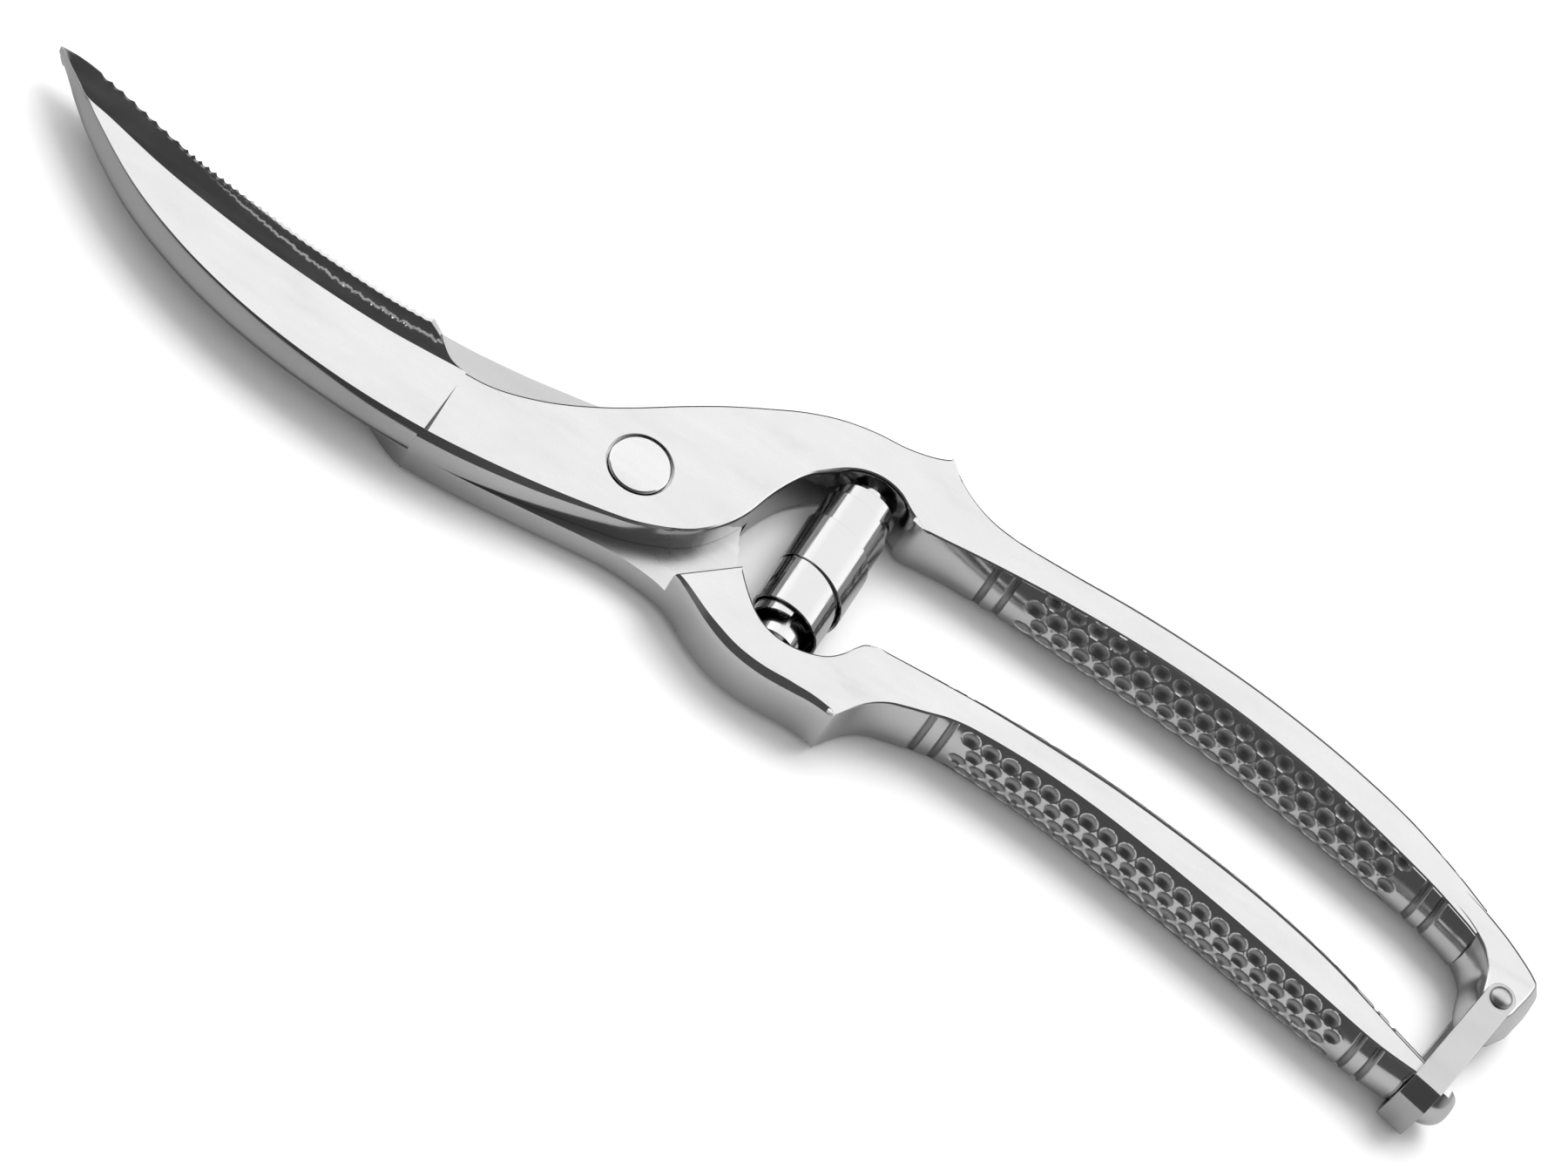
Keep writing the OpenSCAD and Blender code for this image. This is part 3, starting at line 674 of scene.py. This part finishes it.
def bolt_seat():
    chamfer = 0.12
    return lathe("seat", [
        (0, HEAD_TOP - SEAT_DEPTH), (SEAT_R, HEAD_TOP - SEAT_DEPTH), (SEAT_R, HEAD_TOP - chamfer),
        (SEAT_R + chamfer, HEAD_TOP), (SEAT_R + chamfer, ABOVE), (0, ABOVE),
    ])


def top_half():
    runs = [run(UPPER_HOLLOW), np.array(UPPER_END, float), np.array(UPPER_TIP, float), run(UPPER_BACK),
            np.array(UPPER_START, float)]
    head = plate("head", runs, HEAD_BOTTOM, HEAD_TOP, rim_inset, rim_depth,
                 low_inset=underside_inset, low_depth=even_depth, lip=rim_lip)
    head = combine(head, [
        drum("clear", SHOULDER_R, BELOW, LAP_HIGH, steps=160),
        prism("front", [[-60, -60], [2, -60], [2, 60], [-60, 60]], BELOW, LAP_HIGH),
    ], "DIFFERENCE")
    handle = grip("upper_grip", UPPER_INNER, UPPER_OUTER, BULGE_SHARE, (3.8, 2.4), (2.2, 2.4),
                  UPPER_DIMPLES, [50.6, 53.8, 126.8, 129.8])
    half = combine(head, [upper_blade(), handle, lobe_end()], "UNION")
    half = combine(half, [
        drum("pivot_hole", PIVOT_R + PRESS_FIT, BELOW, ABOVE),
        bolt_seat(),
        drum("rivet_hole", RIVET_R + PRESS_FIT, BELOW, ABOVE, RIVET, 48),
        peg_hole(17.4, 23.8),
    ], "DIFFERENCE")
    half.name = "top_half_forging"
    return shade(half)


# ---- the bottom half; its head's runs are numbered in this order
LOW_FRONT, LOW_HOLLOW, LOW_JOIN, LOW_BACK, LOW_START = range(5)


def lower_rim_inset(x, y, k):
    return 0.0 if k == LOW_JOIN else 0.12


def lower_rim_depth(x, y, k):
    return np.interp(x, [12, 16, 42], [0.7, 3.0, 2.6]) if k == LOW_BACK else 0.7


def lower_rim_lip(x, y, k):
    if k in (LOW_BACK, LOW_START):
        return np.interp(x, [-28, 10, 14, 22, 34, 42], [0.2, 0.22, 0.45, 0.85, 0.95, 0.6])
    return 0.0 if k == LOW_JOIN else 0.22


def lower_underside_inset(x, y, k):
    return 0.2 if k in (LOW_FRONT, LOW_HOLLOW, LOW_BACK) else 0.0


def edge_cut(a, b, width, depth):
    """Wedge that breaks the head's top edge from a to b, on the side to the left of that line."""
    a, b = np.array(a, float), np.array(b, float)
    way = (b - a) / np.linalg.norm(b - a)
    left = np.array([-way[1], way[0]])
    section = [(-1.0, HEAD_TOP + 1), (-1.0, HEAD_TOP - depth), (0.0, HEAD_TOP - depth), (width, HEAD_TOP),
               (width, HEAD_TOP + 1)]
    overrun = way * 2
    return loft("edge", [
        [[*(end + left * out), z] for out, z in section] for end in (a - overrun, b + overrun)
    ])


def rounded_section(x, low_y, high_y, low_bulge, high_bulge, half):
    levels = np.linspace(-1, 1, 21)
    high = high_y + high_bulge * (1 - np.abs(levels) ** 2.4)
    low = low_y - low_bulge * (1 - np.abs(levels) ** 2.2)
    sides = [np.column_stack([np.full(21, x), y, MID + half * levels]) for y in (high, low)]
    return np.concatenate([sides[0], sides[1][::-1]])


def neck_loft():
    """Waist between the lower grip and the knob."""
    stations = np.column_stack([np.linspace(136.5, 141.9, 8), np.linspace(-9.6, -10.9, 8)])
    return loft("neck", [rounded_section(x, -12.2, y, 1.9, 0.4, HEAD_T / 2 - 0.5) for x, y in stations])


def knob_loft():
    rings = []
    for a in np.radians(np.linspace(0, 86, 18)):
        share = 0.3 + 0.7 * math.cos(a)
        half_w = 0.7 * share
        rings.append(rounded_section(141.8 + 3.2 * math.sin(a), -11.7 - half_w, -11.7 + half_w,
                                     2.3 * share, 0.5 * share, (HEAD_T / 2 - 0.25) * share))
    return loft("knob", rings)


def bottom_half():
    runs = [run(LOWER_FRONT), run(LOWER_HOLLOW), np.array([[42.2, -3.2], [42.2, -17.1]]), run(LOWER_BACK),
            np.array([[-28, -16.5], [-28, 3.8]])]
    head = plate("head", runs, HEAD_BOTTOM, HEAD_TOP, lower_rim_inset, lower_rim_depth,
                 low_inset=lower_underside_inset, low_depth=even_depth, lip=lower_rim_lip)
    a, b = SHOULDER
    away = [a, b, [b[0] - 0.01, -80], [-80, -80], [-80, 80], [a[0] + 80, 75]]
    head = combine(head, [prism("step", away, LAP_LOW, 30), edge_cut(a, b, 0.26, 0.16)], "DIFFERENCE")
    handle = grip("lower_grip", LOWER_INNER, LOWER_OUTER, LOWER_BULGE_SHARE, (2.4, 2.8), (2.2, 2.4),
                  LOWER_DIMPLES, [54, 57, 128.6, 131.6])
    half = combine(head, [lower_blade(), handle, neck_loft(), knob_loft()], "UNION")
    half = combine(half, [
        drum("pivot_hole", PIVOT_R + TURNING_FIT, BELOW, ABOVE),
        drum("recess", NUT_RECESS[0], BELOW, NUT_RECESS[1]),
        peg_hole(-13.3, -9),
    ], "DIFFERENCE")
    half.name = "bottom_half_forging"
    return shade(half)


# ---- hardware
def pivot_bolt():
    seat_z = HEAD_TOP - SEAT_DEPTH
    crown, rim = 0.34, HEAD_TOP + 0.06
    dome = [
        (r, rim + crown * (1 - (r / BOLT_HEAD_R) ** 2)) for r in np.linspace(BOLT_HEAD_R - 0.3, 0, 16)
    ]
    return shade(lathe("pivot_bolt_head", [
        (0, 0.55), (BOLT_BORE_R, 0.55), (BOLT_BORE_R, NUT_T), (PIVOT_R, NUT_T), (PIVOT_R, seat_z),
        (BOLT_HEAD_R, seat_z), (BOLT_HEAD_R, HEAD_TOP - 0.1), (BOLT_HEAD_R - 0.1, HEAD_TOP + 0.02), *dome,
    ], steps=128), 40)


def pivot_nut():
    nut = lathe("pivot_nut_turned", [
        (0, 0), (NUT_R - 0.35, 0), (NUT_R - 0.1, 0.1), (NUT_R, 0.35), (NUT_R, NUT_T - 0.2),
        (NUT_R - 0.2, NUT_T), (0, NUT_T),
    ])
    spanner_holes = [drum("hole", 0.6, -1, 0.8, (x, 0), 32) for x in (-3.4, 3.4)]
    countersink = drum("face", BOLT_BORE_R + 0.1, -1, 0.08, steps=64)
    bore = drum("bore", BOLT_BORE_R, 0.5, 5, steps=64)
    return shade(combine(nut, [*spanner_holes, countersink, bore], "DIFFERENCE"))


def volute_spring():
    first, last = SPRING_TURNS
    turns = np.linspace(first, last, int((last - first) * 72) + 1)
    middle_r = SPRING_R - STRIP_T / 2 - np.where(turns < 0, -TURN_PITCH[0], TURN_PITCH[1]) * turns
    width, middle_y = curve(SPRING_W, turns), curve(SPRING_MID, turns)
    # round the strip's section: out from its middle, which edge, and how far back from that edge
    t, c = STRIP_T / 2, 0.07
    section = [
        (-t, -1, c), (-t, 1, c), (-t + c, 1, 0), (t - c, 1, 0), (t, 1, c), (t, -1, c), (t - c, -1, 0),
        (-t + c, -1, 0),
    ]
    rings = [
        [
            [SPRING_X + (r + out) * math.cos(a), y + side * (w / 2 - back), MID + (r + out) * math.sin(a)]
            for out, side, back in section
        ]
        for a, r, y, w in zip(2 * math.pi * turns, middle_r, middle_y, width)
    ]
    spring = shade(loft("volute_spring_strip", rings), 30, 2)
    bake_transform(spring)
    return spring


def spring_peg(name, base_y, end_y, radius, shank_y):
    sign = 1 if end_y > base_y else -1
    tip = [
        (radius * math.cos(a), end_y - sign * (1 - math.sin(a))) for a in np.radians(np.linspace(0, 90, 9))
    ]
    profile = [(0, shank_y), (PEG_SHANK_R, shank_y), (PEG_SHANK_R, base_y), (radius, base_y),
               (radius, base_y + sign * 0.2), (radius, base_y + sign * 1.2), *tip]
    return shade(lathe(name, profile, (SPRING_X, 0, MID), "y", 72))


def offset_path(path, distance):
    """Mitred offset of an open path."""
    d = np.diff(path, axis=0)
    d /= np.linalg.norm(d, axis=1)[:, None]
    n = np.column_stack([-d[:, 1], d[:, 0]])
    a, b = np.vstack([n[:1], n]), np.vstack([n, n[-1:]])
    mitre = (a + b) / (1 + np.sum(a * b, axis=1))[:, None]
    return path + mitre * distance


def round_path(path, radius, steps):
    """Open path with its inner corners rounded."""
    out = [path[0]]
    for before, here, after in zip(path, path[1:], path[2:]):
        u, v = before - here, after - here
        lu, lv = np.linalg.norm(u), np.linalg.norm(v)
        angle = math.acos(np.clip(np.dot(u, v) / lu / lv, -1, 1))
        cut = min(radius / math.tan(angle / 2), lu * 0.45, lv * 0.45)
        start, end = here + u / lu * cut, here + v / lv * cut
        for t in np.linspace(0, 1, steps):
            out.append(start * (1 - t) ** 2 + here * 2 * t * (1 - t) + end * t**2)
    out.append(path[-1])
    return np.array(out)


def bail_plan():
    """Seen from above, the strip is straight, and round at the rivet."""
    r, slack = BAIL_W / 2, 1
    a = np.radians(np.linspace(0, 180, 40))
    arc = np.column_stack([r * np.cos(a), r * np.sin(a)])
    sides = [[-r - slack, 0], [-r - slack, -40], [r + slack, -40], [r + slack, 0]]
    return prism("plan", np.vstack([arc, sides]), -1, GRIP_T + 1)


def catch_bail():
    flat = BAIL_REACH - BAIL_FOLD
    outer = np.array([
        [-BAIL_W, GRIP_T], [flat, GRIP_T], [BAIL_REACH, GRIP_T - BAIL_FOLD], [BAIL_REACH, BAIL_FOLD],
        [flat, 0], [-BAIL_W, 0],
    ], float)
    centre = round_path(offset_path(outer, -BAIL_T / 2), 0.75, 6)
    outline = np.vstack([offset_path(centre, BAIL_T / 2), offset_path(centre, -BAIL_T / 2)[::-1]])
    reach, height = outline.T
    strip = loft("catch_bail_strip", [
        np.column_stack([np.full(len(outline), across), -reach, height])
        for across in (-BAIL_W / 2, BAIL_W / 2)
    ])
    strip = combine(strip, [bail_plan()], "INTERSECT")
    hole_r, cone_r = RIVET_R + 0.05, RIVET_HEAD_R + 0.05
    strip = combine(strip, [
        drum("hole", hole_r, -2, ABOVE, (0, 0), 48),
        lathe("cone", [(0, -1), (cone_r, -1), (cone_r, 0), (hole_r, 0.7), (0, 0.7)], steps=48),
    ], "DIFFERENCE")
    strip = bevel(strip, 0.1, 2, 40)
    move = Matrix.Translation((RIVET[0] * MM, RIVET[1] * MM, 0))
    strip.data.transform(move @ Matrix.Rotation(-BAIL_LEAN, 4, "Z"))
    return shade(strip)


def catch_rivet():
    head = GRIP_T + 0.02
    dome = [
        (RIVET_HEAD_R * math.cos(a), head + 0.12 + 0.72 * math.sin(a))
        for a in np.radians(np.linspace(0, 90, 12))
    ]
    return shade(lathe("catch_rivet_head", [
        (0, 0), (RIVET_HEAD_R - 0.06, 0), (RIVET_R, 0.7), (RIVET_R, head), (RIVET_HEAD_R - 0.05, head),
        *dome,
    ], (*RIVET, 0), "z", 64))


# ---- materials; ranges of x and z in them are in metres
LEVEL_NORMAL = (0.975, 0.995)    # a normal's z where sides turn into level faces
LAP_HEIGHT = (0.0063, 0.0066)    # a half's level faces below this are those of the lap
LAP_SHADE = (-0.015, 0.005)      # the lap's painted shade gets paler along x here
SIDE_SHADE_BACK = (-0.036, -0.012)    # painted shade on the ground sides of the blades, for their dark reflections, fades out here where they turn into forged sides


class Shader:
    """Short names for a material's nodes."""

    def __init__(self, name):
        self.material = bpy.data.materials.new(name)
        self.material.use_nodes = True
        self.nodes, self.links = self.material.node_tree.nodes, self.material.node_tree.links
        self.bsdf = self.nodes["Principled BSDF"]
        self.place = self.nodes.new("ShaderNodeTexCoord")

    def noise(self, scale, stretch, detail, rough=0.55):
        mapping = self.nodes.new("ShaderNodeMapping")
        mapping.inputs["Scale"].default_value = stretch
        self.links.new(self.place.outputs["Object"], mapping.inputs["Vector"])
        tex = self.nodes.new("ShaderNodeTexNoise")
        tex.inputs["Scale"].default_value = scale
        tex.inputs["Detail"].default_value = detail
        tex.inputs["Roughness"].default_value = rough
        self.links.new(mapping.outputs["Vector"], tex.inputs["Vector"])
        return tex.outputs["Fac"]

    def remap(self, value, span, to):
        node = self.nodes.new("ShaderNodeMapRange")
        for key, number in zip(("From Min", "From Max", "To Min", "To Max"), (*span, *to)):
            node.inputs[key].default_value = number
        self.links.new(value, node.inputs["Value"])
        return node.outputs["Result"]

    def maths(self, operation, a, b):
        node = self.nodes.new("ShaderNodeMath")
        node.operation = operation
        for socket, value in zip(node.inputs, (a, b)):
            if isinstance(value, (int, float)):
                socket.default_value = value
            else:
                self.links.new(value, socket)
        return node.outputs[0]

    def axes(self, output):
        split = self.nodes.new("ShaderNodeSeparateXYZ")
        self.links.new(self.place.outputs[output], split.inputs[0])
        return split.outputs


def forging_painted_shade(s, level, tone, hollow):
    """Paints shade into the colour: darker dimples and a darker lap's ground face, where shade falls, and
    darker sides on the blades in place of their dark reflections.
    """
    x, _, z = s.axes("Object")
    # painted shade: the dimples get darker with their depth
    tone = s.maths("MULTIPLY", tone, s.remap(hollow, (0, 1), (1, 0.46)))
    # painted shade on the lap's level face, where the other half shades it
    lap = s.maths("MULTIPLY", level, s.remap(z, LAP_HEIGHT, (1, 0)))
    lap = s.maths("MULTIPLY", lap, s.remap(x, LAP_SHADE, (1, 0.25)))
    tone = s.maths("MULTIPLY", tone, s.remap(lap, (0, 1), (1, 0.76)))
    # painted shade: the blades' sides that are not level are darkened in place of their dark reflections
    ground = s.maths("MULTIPLY", s.remap(level, (0, 1), (1, 0)), s.remap(x, SIDE_SHADE_BACK, (1, 0)))
    return s.maths("MULTIPLY", tone, s.remap(ground, (0, 1), (1, 0.64)))


def steel(name, tone, flat_rough, side_rough, grain=0.5, mottle=0.5, scratch=0.3, dimpled=False):
    """Ground and polished steel: level faces carry a fine grind, the sides are polished."""
    s = Shader(name)
    s.bsdf.inputs["Metallic"].default_value = 1.0
    level = s.remap(s.maths("ABSOLUTE", s.axes("Normal")["Z"], 0.0), LEVEL_NORMAL, (0, 1))
    cloud = s.noise(55, (1, 1, 1), 4)
    speck = s.noise(2600, (1, 1, 1), 2)
    lines = s.noise(900, (0.05, 1, 1), 3)
    rub = s.noise(240, (0.35, 1, 1), 5, 0.65)

    shade_of = s.remap(cloud, (0.25, 0.75), (tone * (1 - 0.05 * mottle), tone * (1 + 0.04 * mottle)))
    grains = s.remap(speck, (0.3, 0.7), (1 - 0.03 * grain, 1 + 0.025 * grain))
    shade_of = s.maths("MULTIPLY", shade_of, grains)
    shade_of = s.maths("MULTIPLY", shade_of, s.remap(rub, (0.62, 0.8), (1, 1 - 0.10 * mottle)))
    rough = s.maths("ADD", s.maths("MULTIPLY", level, flat_rough - side_rough), side_rough)
    # dimpled forgings also get painted shade in the dimples, on the lap and on the blades' sides; the
    # dimples are rougher too
    if dimpled:
        cavity = s.nodes.new("ShaderNodeAttribute")
        cavity.attribute_name = "cavity"
        # dimple depth with a little speckle; it sets the dimples' painted shade and their roughness
        speckled_depth = s.maths("ADD", cavity.outputs["Fac"], s.maths("MULTIPLY", speck, 0.04))
        hollow = s.remap(speckled_depth, (0.04, 0.16), (0, 1))
        shade_of = forging_painted_shade(s, level, shade_of, hollow)
        rough = s.maths("ADD", rough, s.maths("MULTIPLY", hollow, 0.16))
    rough = s.maths("ADD", rough, s.remap(rub, (0.35, 0.75), (-0.03, 0.06)))
    rough = s.maths("ADD", rough, s.remap(lines, (0.3, 0.7), (-0.02, 0.02)))
    s.links.new(rough, s.bsdf.inputs["Roughness"])

    colour = s.nodes.new("ShaderNodeCombineColor")
    for key, tint in zip(("Red", "Green", "Blue"), (1.0, 0.995, 1.0)):
        s.links.new(s.maths("MULTIPLY", shade_of, tint), colour.inputs[key])
    s.links.new(colour.outputs["Color"], s.bsdf.inputs["Base Color"])

    height = s.maths("ADD", s.maths("MULTIPLY", lines, 0.6), s.maths("MULTIPLY", speck, 0.4))
    bump = s.nodes.new("ShaderNodeBump")
    bump.inputs["Strength"].default_value = scratch
    bump.inputs["Distance"].default_value = 0.000006
    s.links.new(height, bump.inputs["Height"])
    s.links.new(bump.outputs["Normal"], s.bsdf.inputs["Normal"])
    return s.material


def paint(obj, mat):
    obj.data.materials.clear()
    obj.data.materials.append(mat)
    return obj


forged = steel("forged_steel", 0.60, 0.30, 0.16, dimpled=True)
bright = steel("polished_steel", 0.62, 0.26, 0.14, mottle=0.3)
spring_steel = steel("spring_steel", 0.55, 0.12, 0.10, grain=0.2, mottle=0.2, scratch=0.12)
catch_steel = steel("catch_steel", 0.47, 0.3, 0.2, mottle=0.6)
turned = steel("hidden_steel", 0.5, 0.34, 0.3, mottle=0.8)

PIECES = [  # piece, body, nodes that it replaces, slot, material; the spring gets no body
    (top_half(), "upper", ["top_half"], "forged_steel", forged),
    (bottom_half(), "lower", ["bottom_half"], "forged_steel", forged),
    (pivot_bolt(), "upper", ["pivot_bolt"], "polished_steel", bright),
    (pivot_nut(), "upper", ["pivot_nut"], "hidden_steel", turned),
    (spring_peg("upper_spring_peg_turned", 20.3, 15.0, 3.4, 23.7),
     "upper", ["upper_spring_peg"], "polished_steel", bright),
    (spring_peg("lower_spring_peg_turned", -9.8, -5.0, 3.6, -13.2),
     "lower", ["lower_spring_peg"], "polished_steel", bright),
    (catch_bail(), "catch", ["catch_bail"], "polished_steel", catch_steel),
    (catch_rivet(), "upper", ["catch_rivet"], "polished_steel", turned),
    (volute_spring(), None, ["volute_spring"], "spring_steel", spring_steel),
]
for piece, body, nodes_shown, slot, material in PIECES:
    paint(piece, material)
    if body:
        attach(piece, body)
    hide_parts(*nodes_shown)
paint(frame["nodes"]["pivot_washer"], turned)


# ---- stage, light and camera, in metres
def matt(name, value):
    mat = bpy.data.materials.new(name)
    mat.use_nodes = True
    bsdf = mat.node_tree.nodes["Principled BSDF"]
    bsdf.inputs["Base Color"].default_value = (value, value, value, 1)
    bsdf.inputs["Roughness"].default_value = 0.9
    bsdf.inputs["Specular IOR Level"].default_value = 0.0
    return mat


def ground(name, size, z, value):
    s = size / 2
    mesh = bpy.data.meshes.new(name)
    mesh.from_pydata([(-s, -s, z), (s, -s, z), (s, s, z), (-s, s, z)], [], [(0, 1, 2, 3)])
    obj = bpy.data.objects.new(name, mesh)
    bpy.context.scene.collection.objects.link(obj)
    mesh.materials.append(matt(name, value))
    return obj


# the white floor is seen directly, and a darker one only in reflections
floor = ground("floor", 6.0, -0.00005, 0.9)
floor.visible_glossy = False
mirror_floor = ground("floor_in_reflections", 6.0, -0.00004, 0.54)
mirror_floor.visible_camera = False
mirror_floor.visible_diffuse = False
mirror_floor.visible_shadow = False


def pose_matrix(right, top, back, place):
    """Matrix of something at a place, from its own three axes."""
    return Matrix([[*row] for row in zip(right, top, back, place)] + [[0, 0, 0, 1]])


def aim(obj, direction, distance, target=(0.02, 0.0, 0.0)):
    """Puts a light at a distance from the target along a direction, facing it."""
    back = np.array(direction, float)
    back /= np.linalg.norm(back)
    right = np.cross(np.array([0.0, 0.0, 1.0]), back)
    right /= np.linalg.norm(right)
    obj.matrix_world = pose_matrix(right, np.cross(back, right), back, np.array(target) + back * distance)


def area(name, direction, distance, width, height, radiance, glossy=True):
    """Area light of a given radiance, which reflections show only if glossy."""
    data = bpy.data.lights.new(name, "AREA")
    data.shape = "RECTANGLE"
    data.size, data.size_y = width, height
    data.energy = radiance * math.pi * width * height
    obj = bpy.data.objects.new(name, data)
    bpy.context.scene.collection.objects.link(obj)
    aim(obj, direction, distance)
    obj.visible_glossy = glossy
    obj.visible_camera = False
    return obj


def from_zenith(angle_deg, turn_deg=0.0):
    """Direction tilted from straight up towards +Y, then turned towards +X."""
    a, b = math.radians(angle_deg), math.radians(turn_deg)
    return (math.sin(a) * math.sin(b), math.sin(a) * math.cos(b), math.cos(a))


def studio_world():
    """Dim surroundings that get brighter out to both sides in X."""
    world = bpy.data.worlds.new("studio")
    world.use_nodes = True
    nodes, links = world.node_tree.nodes, world.node_tree.links
    place, axes = nodes.new("ShaderNodeTexCoord"), nodes.new("ShaderNodeSeparateXYZ")
    side = nodes.new("ShaderNodeMath")
    side.operation = "ABSOLUTE"
    tone = nodes.new("ShaderNodeMapRange")
    for key, number in zip(("From Min", "From Max", "To Min", "To Max"), (0.5, 0.9, 0.1, 0.5)):
        tone.inputs[key].default_value = number
    links.new(place.outputs["Generated"], axes.inputs[0])
    links.new(axes.outputs["X"], side.inputs[0])
    links.new(side.outputs[0], tone.inputs["Value"])
    links.new(tone.outputs["Result"], nodes["Background"].inputs["Strength"])
    nodes["Background"].inputs["Color"].default_value = (1, 1, 1, 1)
    return world


area("softbox", from_zenith(37), distance=0.9, width=2.7, height=0.84, radiance=1.42)
area("key", from_zenith(22, 25), distance=1.1, width=0.6, height=0.6, radiance=5.0, glossy=False)
area("fill", (0, -0.2, 1), distance=1.3, width=2.6, height=2.6, radiance=0.75, glossy=False)

scene = bpy.context.scene
scene.world = studio_world()
scene.view_settings.view_transform = "Standard"
scene.view_settings.look = "None"

TILT = math.radians(34.5)      # camera's angle from straight down
ROLL = math.radians(33.9)      # how far the handles run downhill in the picture
DISTANCE = 0.659
LENS = 105.44                  # millimetres, on a sensor 36 mm wide
AIM = (0.02653, 0.00386, 0.0)
uphill = np.array([0, math.cos(TILT), math.sin(TILT)])
sideways = np.array([1.0, 0, 0])
right = sideways * math.cos(ROLL) + uphill * math.sin(ROLL)
above = -sideways * math.sin(ROLL) + uphill * math.cos(ROLL)
back = np.array([0, -math.sin(TILT), math.cos(TILT)])
camera_data = bpy.data.cameras.new("camera")
camera_data.lens = LENS
camera_data.sensor_width = 36
camera_data.clip_start = 0.01
camera = bpy.data.objects.new("camera", camera_data)
scene.collection.objects.link(camera)
camera.matrix_world = pose_matrix(right, above, back, np.array(AIM) + back * DISTANCE)
scene.camera = camera
